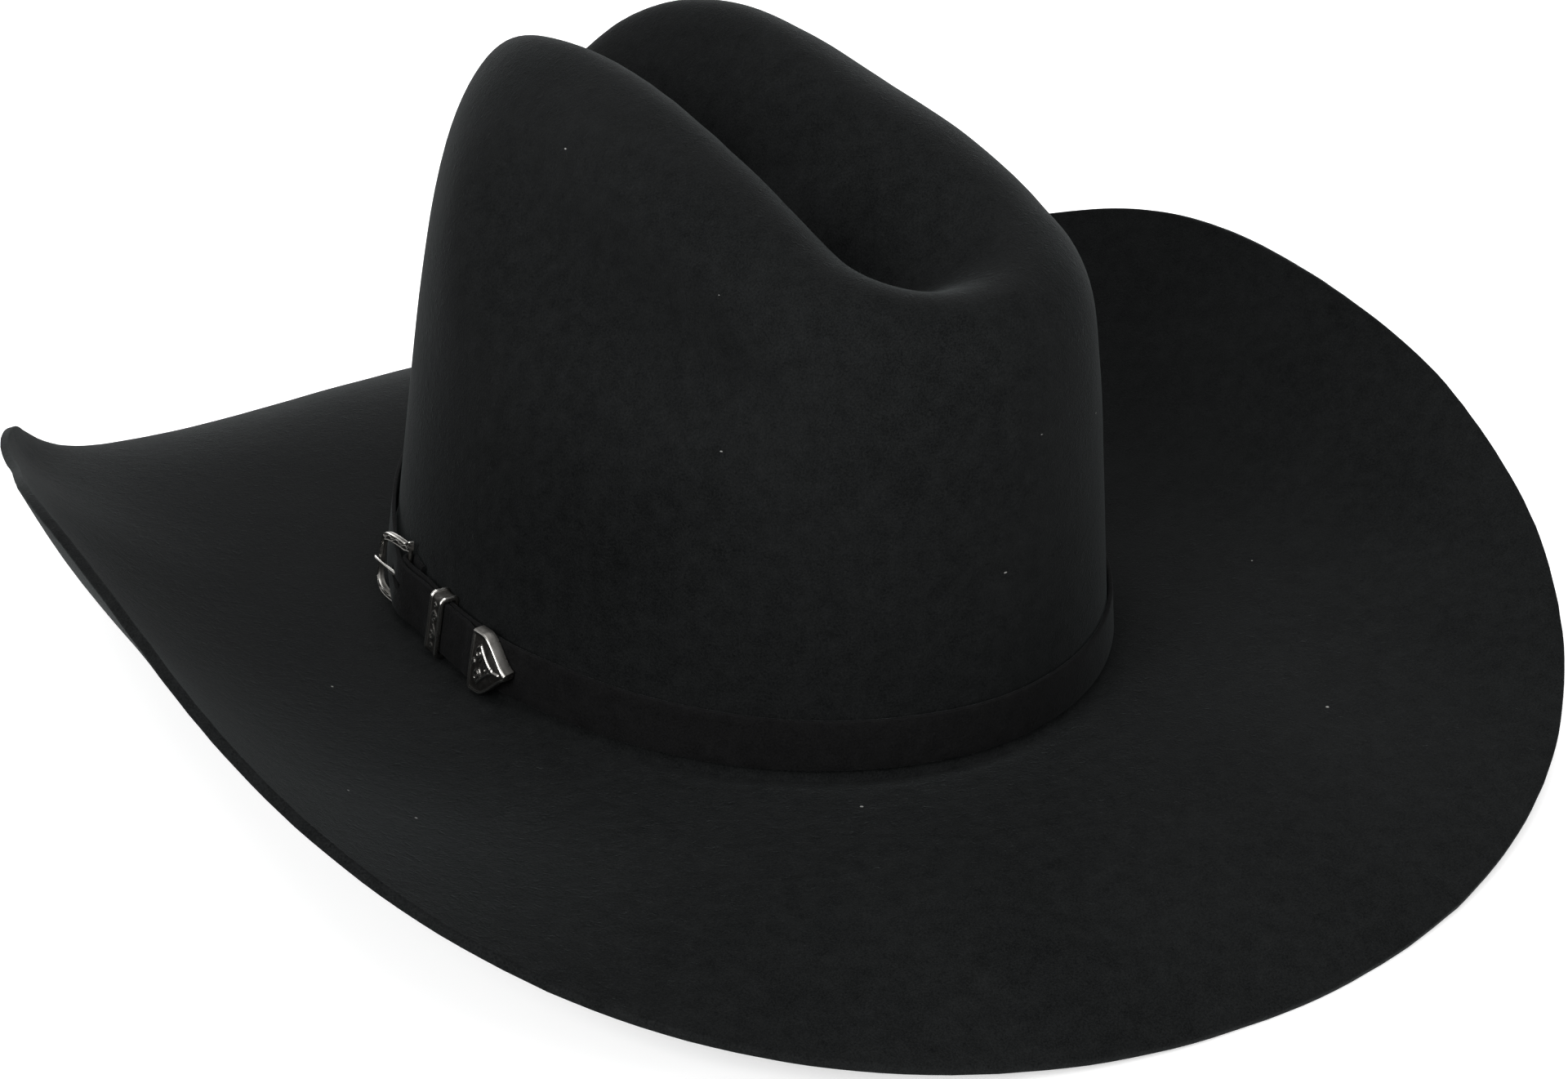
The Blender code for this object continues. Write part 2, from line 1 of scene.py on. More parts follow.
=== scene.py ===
import math

import bmesh
import bpy
from mathutils import Matrix, Quaternion, Vector, noise


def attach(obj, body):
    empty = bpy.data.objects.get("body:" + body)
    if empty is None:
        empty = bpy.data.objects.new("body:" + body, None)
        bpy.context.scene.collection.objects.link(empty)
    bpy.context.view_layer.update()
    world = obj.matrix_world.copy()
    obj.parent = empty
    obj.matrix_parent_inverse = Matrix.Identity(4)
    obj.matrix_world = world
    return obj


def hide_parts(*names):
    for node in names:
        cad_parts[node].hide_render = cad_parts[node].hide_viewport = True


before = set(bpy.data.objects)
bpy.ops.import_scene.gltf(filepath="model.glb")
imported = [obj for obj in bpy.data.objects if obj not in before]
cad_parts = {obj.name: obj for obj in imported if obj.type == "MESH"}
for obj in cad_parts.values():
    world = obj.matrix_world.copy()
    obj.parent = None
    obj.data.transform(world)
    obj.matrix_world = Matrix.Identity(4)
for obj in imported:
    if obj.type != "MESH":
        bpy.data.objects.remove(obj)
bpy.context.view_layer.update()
mm = 0.001

hat = {
    "halfLength": 103.5, "halfWidth": 85.2,      # head oval, outside of the crown at the brim
    "baseHeight": 17.28, "baseTilt": 8.4, "baseSag": 2.3, "middleY": 4.96,
    "felt": 2.4, "breakRadius": 2.5,
    "brimWidth": 108.0, "backExtra": 2.6, "sideExtra": 4.0, "curlPower": 1.38, "edgeLip": 0.95,
    "lipAt": (48.5, 9.0), "flatAt": (31.0, 8.0), "flatBy": 0.35, "noseAt": (0.0, 14.0), "noseLip": 0.0845,
    "sideAt": (86.0, 14.0), "sideGrow": 1.5, "cornerAt": (64.0, 11.0), "cornerCut": 7.5,
    "crownHeight": 147.49, "crownFall": 27.0, "crownDroop": 7.59, "crownFlick": 4.44,
    "rimLift": 5.2, "frontTilt": 0.06, "topLength": 0.974, "topWidth": 0.722, "crownLean": 5.7,
    "creaseDepth": 30.0, "creaseWidth": 14.5, "creaseEnd": 106.0, "creaseRunout": 66.0, "creaseFade": 0.53,
    "dentDepth": 13.0, "dentLength": 48.0, "dentTall": 19.0, "dentHeight": 110.0, "dentMiddle": 24.0,
    "dentShear": 0.45, "dentSlope": 8.0,
    "rise": 0.27, "riseBack": 0.13,              # how squarely the wall turns into the top
}


def smooth(x):
    x = max(0.0, min(1.0, x))
    return x * x * (3.0 - 2.0 * x)


def hill(turned, spot):
    # a soft rise round one angle, given as where it is and how wide
    return math.exp(-((turned - spot[0]) / spot[1]) ** 2)


def place(x, y, z):
    return Vector((x, y - hat["middleY"], z)) * mm


def baseHeight(a):
    return hat["baseHeight"] + hat["baseTilt"] * math.cos(a) - hat["baseSag"] * math.sin(a) ** 2


def outward(a):
    nx, ny = math.sin(a) / hat["halfWidth"], -math.cos(a) / hat["halfLength"]
    size = math.hypot(nx, ny)
    return nx / size, ny / size


def brimPoint(a, t):
    # the brim's slope is added up along its width, so the cut edge keeps its true length
    start = 0.087 - 0.016 * math.cos(a) + 0.068 * math.cos(2 * a)
    end = (0.302 - 0.077 * math.cos(a) - 0.956 * math.cos(2 * a)
           - 0.126 * math.cos(3 * a) + 0.064 * math.cos(4 * a))
    turned = abs(math.degrees(math.atan2(math.sin(a), math.cos(a))))
    lip = hat["edgeLip"] * hill(turned, hat["lipAt"]) - hat["flatBy"] * hill(turned, hat["flatAt"])
    lip += hat["noseLip"] * hill(turned, hat["noseAt"])
    width = hat["brimWidth"] - hat["backExtra"] * math.cos(a) - hat["sideExtra"] * math.cos(2 * a)
    width += hat["sideGrow"] * hill(turned, hat["sideAt"]) - hat["cornerCut"] * hill(turned, hat["cornerAt"])
    run = rise = 0.0
    steps = 24
    for i in range(steps):
        along = t * (i + 0.5) / steps
        slope = start + (end - start) * along ** hat["curlPower"] + lip * smooth((along - 0.84) / 0.16)
        run += math.cos(slope) * width * t / steps
        rise += math.sin(slope) * width * t / steps
    nx, ny = outward(a)
    return (hat["halfWidth"] * math.sin(a) + nx * run,
            -hat["halfLength"] * math.cos(a) + ny * run, baseHeight(a) + rise)


def crownTop(x, y):
    # two ridges with a crease between them
    v = y / 100.0
    ridge = (hat["crownHeight"] - hat["crownFall"] * v - hat["crownDroop"] * v ** 2
             + hat["crownFlick"] * v ** 3)
    ridge += hat["rimLift"] * smooth((v - 0.6) / 0.4)
    ridge -= hat["frontTilt"] * x * smooth((10.0 - y) / 60.0)
    depth = hat["creaseDepth"] * smooth((hat["creaseEnd"] - y) / hat["creaseRunout"])
    depth *= 1.0 - hat["creaseFade"] * smooth((-y - 48.0) / 45.0)
    width = hat["creaseWidth"] + 5.0 * smooth((y - 35.0) / 55.0)
    return ridge - depth * math.exp(-(x / width) ** 2)


def riseAt(a):
    return hat["rise"] - hat["riseBack"] * smooth(-math.cos(a))


def crownPoint(a, phi):
    # phi runs from 0 at the brim to a quarter turn at the middle of the top
    u = math.sin(phi) ** riseAt(a)
    s = abs(math.cos(phi)) ** (0.63 - 0.26 * smooth(-math.cos(a)))
    y = -s * hat["halfLength"] * (1.0 + (hat["topLength"] - 1.0) * u) * math.cos(a) + hat["crownLean"] * u
    narrow = hat["topWidth"] + 0.045 * y / 100.0 - 0.113 * smooth(-y / 100.0 + 0.3) * u ** 4
    x = s * hat["halfWidth"] * (1.0 + (narrow - 1.0) * u) * math.sin(a)
    z = baseHeight(a) + u * (crownTop(x, y) - baseHeight(a))
    along = (y - hat["dentMiddle"] + hat["dentShear"] * (z - hat["dentHeight"])) / hat["dentLength"]
    middle = max(-1.0, min(1.0, (y - hat["dentMiddle"]) / hat["dentLength"]))
    level = hat["dentHeight"] - hat["dentSlope"] * middle
    tall = hat["dentTall"] * (1.0 - 0.38 * middle)
    reach = 0.6 * along ** 2 + along ** 4 + ((z - level) / tall) ** 2
    x -= math.copysign(hat["dentDepth"] * math.exp(-reach) * smooth(abs(x) / 30.0), x)
    return x, y, z


def wallPoint(a, h, out):
    # h up the crown wall from the brim, out from the felt
    tall = crownTop(hat["halfWidth"] * math.sin(a), -hat["halfLength"] * math.cos(a)) - baseHeight(a)
    x, y, z = crownPoint(a, math.asin((max(h, 0.0) / tall) ** (1.0 / riseAt(a))))
    nx, ny = outward(a)
    return place(x + nx * out, y + ny * out, baseHeight(a) + h)


def innerPoint(a, h, depth):
    return wallPoint(a, h, -hat["felt"] - depth)


def addObject(name, bm, finish, smoothAngle=50.0, inside=None):
    # closed skins are turned outward by the operator, open ones by a point that lies behind them
    if all(edge.is_manifold for edge in bm.edges):
        bmesh.ops.recalc_face_normals(bm, faces=bm.faces)
    elif inside is not None:
        bm.normal_update()
        facing = sum(f.normal.dot(f.calc_center_median() - inside) * f.calc_area() for f in bm.faces)
        if facing < 0.0:
            bmesh.ops.reverse_faces(bm, faces=bm.faces)
    mesh = bpy.data.meshes.new(name)
    bm.to_mesh(mesh)
    bm.free()
    mesh.shade_smooth()
    mesh.set_sharp_from_angle(angle=math.radians(smoothAngle))
    mesh.materials.append(finish)
    ob = bpy.data.objects.new(name, mesh)
    bpy.context.scene.collection.objects.link(ob)
    return ob


def rowsToMesh(rows, round=True, loop=False, capEnds=True):
    # a grid is laid down, then each of its points goes to its place in the rows
    count = len(rows[0])
    bm = bmesh.new()
    bmesh.ops.create_grid(bm, x_segments=len(rows) - (0 if loop else 1),
                          y_segments=count - (0 if round else 1), size=0.5)
    uvLayer = bm.loops.layers.uv.new("UVMap")
    relief = bm.verts.layers.float.new("relief")
    for face in bm.faces:
        for corner in face.loops:
            corner[uvLayer].uv = (corner.vert.co.x + 0.5, corner.vert.co.y + 0.5)
    wide = len(rows) - (0 if loop else 1)
    tall = count - (0 if round else 1)
    for v in bm.verts:
        i = int((v.co.x + 0.5) * wide + 0.5) % len(rows)
        j = int((v.co.y + 0.5) * tall + 0.5) % count
        point = rows[i][j]
        if isinstance(point, tuple):
            v.co, v[relief] = point
        else:
            v.co = point
    bmesh.ops.remove_doubles(bm, verts=bm.verts, dist=1e-7)
    if capEnds and round and not loop:
        ends = [e for e in bm.edges if e.is_boundary]
        bmesh.ops.holes_fill(bm, edges=ends, sides=0)
    return bm


def spinRings(stations, steps, shape):
    # one spoke of points, spun once round the middle and closed, then set on the hat's curves
    bm = bmesh.new()
    last = len(stations) - 1
    spoke = [bm.verts.new((0.0, -float(last - i), 0.0)) for i in range(len(stations))]
    lines = [bm.edges.new(pair) for pair in zip(spoke, spoke[1:])]
    bmesh.ops.spin(bm, geom=spoke + lines, cent=(0, 0, 0), axis=(0, 0, 1),
                   angle=2.0 * math.pi, steps=steps, use_merge=True)
    bmesh.ops.remove_doubles(bm, verts=bm.verts, dist=0.001)
    for v in bm.verts:
        ring = last - int(v.co.xy.length + 0.5)
        v.co = shape(math.atan2(v.co.x, -v.co.y), stations[ring])
    return bm


def addModifier(ob, kind, **settings):
    made = ob.modifiers.new(kind.title(), kind)
    for key, value in settings.items():
        setattr(made, key, value)
    return made


def applyAll(ob):
    bpy.context.view_layer.update()
    graph = bpy.context.evaluated_depsgraph_get()
    mesh = bpy.data.meshes.new_from_object(ob.evaluated_get(graph))
    ob.modifiers.clear()
    ob.data = mesh


def cutWith(ob, bm):
    bmesh.ops.recalc_face_normals(bm, faces=bm.faces)
    mesh = bpy.data.meshes.new("cutter")
    bm.to_mesh(mesh)
    bm.free()
    cutter = bpy.data.objects.new("cutter", mesh)
    bpy.context.scene.collection.objects.link(cutter)
    addModifier(ob, "BOOLEAN", operation="DIFFERENCE", solver="EXACT", object=cutter)
    applyAll(ob)
    bpy.data.objects.remove(cutter)


def settle(ob, body, slot, *nodes):
    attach(ob, body)
    if nodes:
        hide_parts(*nodes)
    return ob


class Wire:
    def __init__(self, finish, socket):
        self.finish, self.socket = finish, socket

    def sum(self, operation, first, second):
        return self.finish.node("Math", {"operation": operation}, {0: first, 1: second})

    def __add__(self, other):
        return self.sum("ADD", self, other)

    def __radd__(self, other):
        return self.sum("ADD", other, self)

    def __sub__(self, other):
        return self.sum("SUBTRACT", self, other)

    def __rsub__(self, other):
        return self.sum("SUBTRACT", other, self)

    def __mul__(self, other):
        return self.sum("MULTIPLY", self, other)

    def __rmul__(self, other):
        return self.sum("MULTIPLY", other, self)

    def __lt__(self, other):
        return self.sum("LESS_THAN", self, other)

    def __gt__(self, other):
        return self.sum("GREATER_THAN", self, other)


class Finish:
    def __init__(self, name, fixed):
        self.material = bpy.data.materials.new(name)
        self.material.use_nodes = True
        self.tree = self.material.node_tree
        self.shader = self.tree.nodes["Principled BSDF"]
        for socket, value in fixed.items():
            self.shader.inputs[socket].default_value = value

    def join(self, value, socket):
        if isinstance(value, Wire):
            self.tree.links.new(value.socket, socket)
        else:
            socket.default_value = value

    def node(self, kind, settings=None, sockets=None, output=0):
        made = self.tree.nodes.new("ShaderNode" + kind)
        for key, value in (settings or {}).items():
            if key == "stops":
                ramp = made.color_ramp
                while len(ramp.elements) < len(value):
                    ramp.elements.new(0.5)
                for stop, (position, colour) in zip(ramp.elements, value):
                    stop.position, stop.color = position, colour
            else:
                setattr(made, key, value)
        for key, value in (sockets or {}).items():
            self.join(value, made.inputs[key])
        return Wire(self, made.outputs[output])

    def place(self, output="Object"):
        return self.node("TexCoord", output=output)

    def noise(self, where, scale, detail=3.0, rough=0.55, twist=0.0, kind="FBM"):
        return self.node("TexNoise", {"noise_type": kind},
                         {"Vector": where, "Scale": scale, "Detail": detail, "Roughness": rough,
                          "Distortion": twist}, output=0)

    def stretch(self, where, scale, turn=(0, 0, 0)):
        return self.node("Mapping", {}, {"Vector": where, "Scale": scale, "Rotation": turn})

    def between(self, factor, low, high, first=0.0, second=1.0):
        return self.node("MapRange", {"clamp": True},
                         {"Value": factor, 1: low, 2: high, 3: first, 4: second})

    def mix(self, factor, first, second):
        return self.node("Mix", {"data_type": "RGBA"}, {0: factor, 6: first, 7: second}, output=2)

    def bump(self, height, distance, strength=1.0):
        normal = self.node("Bump", {}, {"Height": height, "Distance": distance, "Strength": strength})
        self.join(normal, self.shader.inputs["Normal"])

    def feed(self, socket, value):
        self.join(value, self.shader.inputs[socket])


def rgb(red, green, blue):
    return (red, green, blue, 1.0)


feltLook = {
    "dark": rgb(0.0024, 0.0027, 0.0028), "light": rgb(0.0105, 0.0112, 0.0113),
    "lint": rgb(0.26, 0.26, 0.25),
    "sheen": 0.068, "sheenRough": 0.27, "sheenTint": rgb(0.88, 0.97, 0.98),
}


def makeFelt(name, look, nap=1.0):
    felt = Finish(name, {"Sheen Weight": look["sheen"], "Sheen Roughness": look["sheenRough"],
                         "Sheen Tint": look["sheenTint"], "Specular IOR Level": 0.035})
    where = felt.place()
    cloud = felt.noise(where, 16.0, 2.0)                                  # broad uneven dye
    mottle = felt.noise(where, 240.0, 4.0, 0.6)
    strands = felt.noise(where, 620.0, 3.0, 0.6, 0.9, "RIDGED_MULTIFRACTAL")     # matted fur fibre
    fuzz = felt.noise(where, 2600.0, 2.0, 0.7)
    tone = felt.between(cloud * 0.2 + mottle * 0.35 + fuzz * 0.75, 0.47, 0.85)
    colour = felt.mix(tone, look["dark"], look["light"])
    cells = felt.stretch(where, (1.0, 1.0, 2.4), (0.5, 0.3, 0.0))
    near = felt.node("TexVoronoi", {"feature": "F1"}, {"Vector": cells, "Scale": 46.0, "Randomness": 1.0},
                     output="Distance")
    pick = felt.noise(where, 9.0, 1.0)
    lint = (near < 0.021) * (pick > 0.5)                                 # a few pale specks caught in the nap
    felt.feed("Base Color", felt.mix(lint * 0.8, colour, look["lint"]))
    felt.feed("Roughness", felt.between(mottle, 0.3, 0.7, 0.84, 0.98))
    felt.bump(strands * 0.55 + fuzz * 0.5 + mottle * 0.6, 0.00030 * nap, 0.9)
    return felt.material


silverLook = {
    "tarnish": rgb(0.045, 0.043, 0.040), "dull": rgb(0.34, 0.33, 0.31), "bright": rgb(0.86, 0.85, 0.81),
}


def makeSilver(name, look):
    silver = Finish(name, {"Metallic": 1.0, "Specular IOR Level": 0.5})
    where = silver.place()
    relief = silver.node("Attribute", {"attribute_name": "relief"}, output="Fac")
    smut = silver.noise(where, 900.0, 4.0, 0.65)
    wear = silver.noise(where, 260.0, 2.0)
    shine = silver.between(relief + smut * 0.35 + wear * 0.25, 0.28, 0.72)
    worn = silver.mix(silver.between(relief + smut * 0.3, 0.75, 1.2), look["dull"], look["bright"])
    silver.feed("Base Color", silver.mix(shine, look["tarnish"], worn))
    scratch = silver.noise(silver.stretch(where, (1.0, 1.0, 9.0), (0.2, 0.5, 0.9)), 1500.0, 2.0)
    silver.feed("Roughness", silver.between(shine, 0.0, 1.0, 0.5, 0.17) + scratch * 0.08)
    silver.bump(smut * 0.6 + scratch * 0.5, 0.00005, 0.6)
    return silver.material


leatherLook = {"deep": rgb(0.009, 0.007, 0.006), "worn": rgb(0.034, 0.026, 0.021)}


def makeLeather(name, look):
    leather = Finish(name, {"Specular IOR Level": 0.5, "Coat Roughness": 0.35})
    where = leather.place()
    pores = leather.node("TexVoronoi", {"feature": "DISTANCE_TO_EDGE"},
                         {"Vector": where, "Scale": 850.0, "Randomness": 1.0}, output="Distance")
    grain = leather.between(pores, 0.0, 0.16)
    crease = leather.noise(where, 70.0, 5.0, 0.6, 0.6)
    wear = leather.noise(where, 22.0, 3.0)
    tone = leather.between(wear * 0.7 + crease * 0.5, 0.42, 0.82) * (grain * 0.5 + 0.5)
    leather.feed("Base Color", leather.mix(tone, look["deep"], look["worn"]))
    leather.feed("Roughness", leather.between(crease * 0.6 + grain * 0.4, 0.2, 0.9, 0.56, 0.36))
    leather.feed("Coat Weight", leather.between(wear, 0.35, 0.7, 0.02, 0.16))
    leather.bump(grain * 0.6 + crease * 1.2, 0.00014, 0.7)
    return leather.material


satinLook = {"shade": rgb(0.006, 0.006, 0.008), "light": rgb(0.030, 0.031, 0.036)}


def makeSatin(name, look, threads):
    satin = Finish(name, {"Anisotropic": 0.55, "Sheen Weight": 0.2, "Sheen Roughness": 0.3,
                          "Specular IOR Level": 0.6})
    where = satin.place("UV")
    lie = satin.node("TexWave", {"wave_type": "BANDS", "bands_direction": "X"},
                     {"Vector": where, "Scale": threads[0], "Distortion": 0.3, "Detail": 1.0}, output="Fac")
    over = satin.node("TexWave", {"wave_type": "BANDS", "bands_direction": "Y"},
                      {"Vector": where, "Scale": threads[1], "Distortion": 0.3, "Detail": 1.0}, output="Fac")
    slub = satin.noise(satin.stretch(where, (threads[0] * 0.25, threads[1] * 0.03, 1.0)), 4.0, 3.0)
    weave = lie * 0.7 + over * 0.3
    satin.feed("Base Color", satin.mix(satin.between(weave * 0.5 + slub * 0.6, 0.2, 0.9),
                                       look["shade"], look["light"]))
    satin.feed("Roughness", satin.between(slub, 0.3, 0.7, 0.26, 0.4))
    satin.bump(weave + slub * 0.5, 0.00004, 0.5)
    return satin.material


def makeRibbon(name, ribs):
    ribbon = Finish(name, {"Sheen Weight": 0.3, "Sheen Roughness": 0.4, "Specular IOR Level": 0.4})
    where = ribbon.place("UV")
    rib = ribbon.node("TexWave", {"wave_type": "BANDS", "bands_direction": "X", "wave_profile": "SIN"},
                      {"Vector": where, "Scale": ribs, "Distortion": 0.2}, output="Fac")
    fleck = ribbon.noise(ribbon.place(), 1800.0, 2.0)
    ribbon.feed("Base Color", ribbon.mix(rib * 0.7 + fleck * 0.3, rgb(0.005, 0.005, 0.006),
                                         rgb(0.026, 0.026, 0.029)))
    ribbon.feed("Roughness", ribbon.between(rib, 0.0, 1.0, 0.65, 0.45))
    ribbon.bump(rib + fleck * 0.3, 0.00012, 0.7)
    return ribbon.material


def makeThread(name):
    thread = Finish(name, {"Sheen Weight": 0.4, "Sheen Roughness": 0.4})
    where = thread.place()
    twist = thread.noise(thread.stretch(where, (1.0, 1.0, 2.5), (0.6, 0.4, 0.0)), 1900.0, 2.0)
    thread.feed("Base Color", thread.mix(twist, rgb(0.012, 0.012, 0.012), rgb(0.065, 0.062, 0.058)))
    thread.feed("Roughness", thread.between(twist, 0.3, 0.7, 0.75, 0.5))
    thread.bump(twist, 0.00008, 0.6)
    return thread.material


def makeReed(name):
    reed = Finish(name, {"Specular IOR Level": 0.5})
    where = reed.place()
    haze = reed.noise(where, 180.0, 3.0)
    reed.feed("Base Color", reed.mix(haze, rgb(0.42, 0.42, 0.40), rgb(0.66, 0.66, 0.63)))
    reed.feed("Roughness", reed.between(haze, 0.3, 0.7, 0.28, 0.45))
    reed.bump(haze, 0.00004, 0.4)
    return reed.material


def makeFilm(name):
    film = Finish(name, {"Specular IOR Level": 0.6, "IOR": 1.46})
    where = film.place()
    haze = film.noise(where, 60.0, 3.0)
    scuff = film.noise(film.stretch(where, (1.0, 12.0, 1.0), (0.0, 0.0, 0.6)), 400.0, 2.0)
    film.feed("Base Color", film.mix(haze, rgb(0.55, 0.56, 0.57), rgb(0.75, 0.76, 0.77)))
    film.feed("Roughness", film.between(scuff, 0.4, 0.75, 0.05, 0.2))
    film.feed("Alpha", film.between(haze * 0.6 + scuff * 0.4, 0.35, 0.7, 0.16, 0.26))
    return film.material


def makePaper(name):
    paper = Finish(name, {"Specular IOR Level": 0.2, "Emission Color": rgb(1.0, 1.0, 1.0),
                          "Emission Strength": 0.45})
    where = paper.place()
    grain = paper.noise(where, 6.0, 3.0)
    paper.feed("Base Color", paper.mix(grain, rgb(0.86, 0.86, 0.86), rgb(0.90, 0.90, 0.90)))
    paper.feed("Roughness", paper.between(grain, 0.3, 0.7, 0.7, 0.85))
    return paper.material


hatFelt = makeFelt("furFelt", feltLook)
strapFelt = makeFelt("strapFelt", {**feltLook, "dark": rgb(0.0028, 0.0028, 0.0029),
                                   "light": rgb(0.0088, 0.0088, 0.0090), "sheen": 0.066}, 0.8)
silver = makeSilver("antiqueSilver", silverLook)
leather = makeLeather("sweatLeather", leatherLook)
satinSide = makeSatin("satinSide", satinLook, (700.0, 130.0))
satinTip = makeSatin("satinTip", satinLook, (360.0, 120.0))
ribbonLook = makeRibbon("grosgrain", 24.0)
threadLook = makeThread("sewingThread")
reedLook = makeReed("reedPlastic")
filmLook = makeFilm("clearFilm")
print("finishes ready")

feltMake = {"around": 288, "brimRings": 34, "wallRings": 18, "topRings": 30,
            "roam": 0.45, "edgeRoam": 0.14, "edgeRound": 0.55}


def feltStations():
    stations = [("brim", 1.0 - 0.94 * (i / feltMake["brimRings"]) ** 1.05)
                for i in range(feltMake["brimRings"] + 1)]
    stations.insert(1, ("brim", 0.994))
    stations += [("break", 12.857 * i) for i in range(8)]
    stations += [("wall", 0.06 + 0.66 * i / feltMake["wallRings"]) for i in range(feltMake["wallRings"] + 1)]
    for i in range(1, feltMake["topRings"] + 1):
        stations.append(("top", i / feltMake["topRings"]))
    return stations


def feltShape(a, station):
    kind, value = station
    roam = 0.0
    if kind == "brim":
        x, y, z = brimPoint(a, value)
        point = place(x, y, z)
        roam = feltMake["roam"] * smooth((value - 0.15) / 0.3)
        if value > 0.99:
            # the raw cut edge isn't perfectly even
            nx, ny = outward(a)
            nick = noise.noise(Vector((math.cos(a), math.sin(a), 0.3)) * 60.0)
            nick += 0.6 * noise.noise(Vector((math.cos(a), math.sin(a), 1.7)) * 19.0)
            point += Vector((nx, ny, 0.0)) * nick * feltMake["edgeRoam"] * mm
    elif kind == "break":
        turn = math.radians(value)
        point = wallPoint(a, hat["breakRadius"] * (1.0 - math.cos(turn)),
                          hat["breakRadius"] * (1.0 - math.sin(turn)))
    elif kind == "wall":
        point = place(*crownPoint(a, math.asin(value ** (1.0 / riseAt(a)))))
        roam = feltMake["roam"] * smooth((value - 0.3) / 0.3)
    else:
        first = math.asin(0.72 ** (1.0 / riseAt(a)))
        point = place(*crownPoint(a, first + (math.pi / 2 - first) * value))
        roam = feltMake["roam"]
    drift = noise.noise(point * 24.0 + Vector((3.1, 0.0, 0.0))) + 0.4 * noise.noise(point * 61.0)
    lift = point - Vector((0.0, 0.0, -0.06))
    return point + lift.normalized() * drift * roam * mm


felt = addObject("feltBody", spinRings(feltStations(), feltMake["around"], feltShape), hatFelt,
                 smoothAngle=60.0, inside=Vector((0.0, 0.0, -0.6)))
addModifier(felt, "SOLIDIFY", thickness=hat["felt"] * mm, offset=-1.0, use_even_offset=True)
addModifier(felt, "BEVEL", width=feltMake["edgeRound"] * mm, segments=3, limit_method="ANGLE",
            angle_limit=math.radians(62.0), harden_normals=False)
settle(felt, "hat", "felt", "felt_body")
print("felt body shaped")

strap = {"low": 2.5, "high": 15.0, "thick": 1.0, "perDegree": 1.79, "barAngle": 75.2,
         "barOff": 2.5, "foldRadius": 1.4, "tongueEnd": 99.0, "corner": 0.28, "gap": 0.35,
         "metalGap": 0.4, "tipLift": 0.7, "wave": 0.12}
keeper = {"angle": 87.5, "width": 5.2, "wall": 0.7, "lip": 0.42, "lipWidth": 0.95, "corner": 0.4}
strapMiddle = (strap["low"] + strap["high"]) / 2
heel = 360.0 * strap["perDegree"]
lift = strap["barOff"] + strap["foldRadius"]
keeperLow = 2 * strap["metalGap"] + keeper["wall"] + strap["thick"] / 2
tongueHigh = lift + strap["thick"] + strap["gap"]
tongueLow = keeperLow + strap["thick"] + strap["gap"]


def bandPoint(s, h, out):
    return wallPoint(math.radians(strap["barAngle"] + s / strap["perDegree"]), h, out)


def strapOut(s):
    low = 0.5 + strap["thick"] / 2
    if s < 45.0:
        out = lift + (keeperLow - lift) * smooth(s / 14.0)
    elif s < 66.0:
        out = keeperLow + (low - keeperLow) * smooth((s - 45.0) / 21.0)
    elif s < heel - 63.0:
        out = low
    elif s < heel:
        out = low + (tongueHigh - low) * ((s - heel + 63.0) / 63.0) ** 3
    elif s < heel + 2.5:
        out = tongueHigh
    elif s < heel + 16.0:
        out = tongueHigh + (tongueLow - tongueHigh) * smooth((s - heel - 2.5) / 13.5)
    else:
        out = tongueLow
    return out + strap["tipLift"] * smooth((s - heel - 33.5) / 4.0)


def strapCourse():
    course = [(x, strap["barOff"] - strap["foldRadius"]) for x in (6.0, 5.0, 4.0, 3.0, 2.0, 1.0)]
    for step in range(17):
        turn = math.pi * step / 16
        course.append((-strap["foldRadius"] * math.sin(turn),
                       strap["barOff"] - strap["foldRadius"] * math.cos(turn)))
    end = (360.0 + strap["tongueEnd"] - strap["barAngle"]) * strap["perDegree"]
    s = 0.9
    while s < end:
        course.append((s, strapOut(s)))
        s += 1.3 if s < 66.0 or s > heel - 66.0 else 2.6
    course.append((end, tongueLow + strap["tipLift"]))
    return course


def beside(course, i):
    # unit vector across a course at one of its points
    before, after = course[max(i - 1, 0)], course[min(i + 1, len(course) - 1)]
    ds, do = after[0] - before[0], after[1] - before[1]
    size = math.hypot(ds, do)
    return -do / size, ds / size


def strapSection():
    # rounded rectangle, as (height, side of the strap from -1 to 1)
    half, corner = strap["thick"] / 2, strap["corner"]
    section = []
    low, high = strap["low"], strap["high"]
    for h, side, start in ((low, -1, 270.0), (low, 1, 180.0), (high, 1, 90.0), (high, -1, 0.0)):
        for step in range(4):
            turn = math.radians(start - 30.0 * step)
            inH = h + (corner if h == low else -corner)
            section.append((inH + corner * math.cos(turn), side * (half - corner) + corner * math.sin(turn)))
        if side > 0 and h == low:
            section += [(low + 12.5 * k / 6, half) for k in range(1, 6)]
    section += [(high - 12.5 * k / 6, -half) for k in range(1, 6)]
    return section


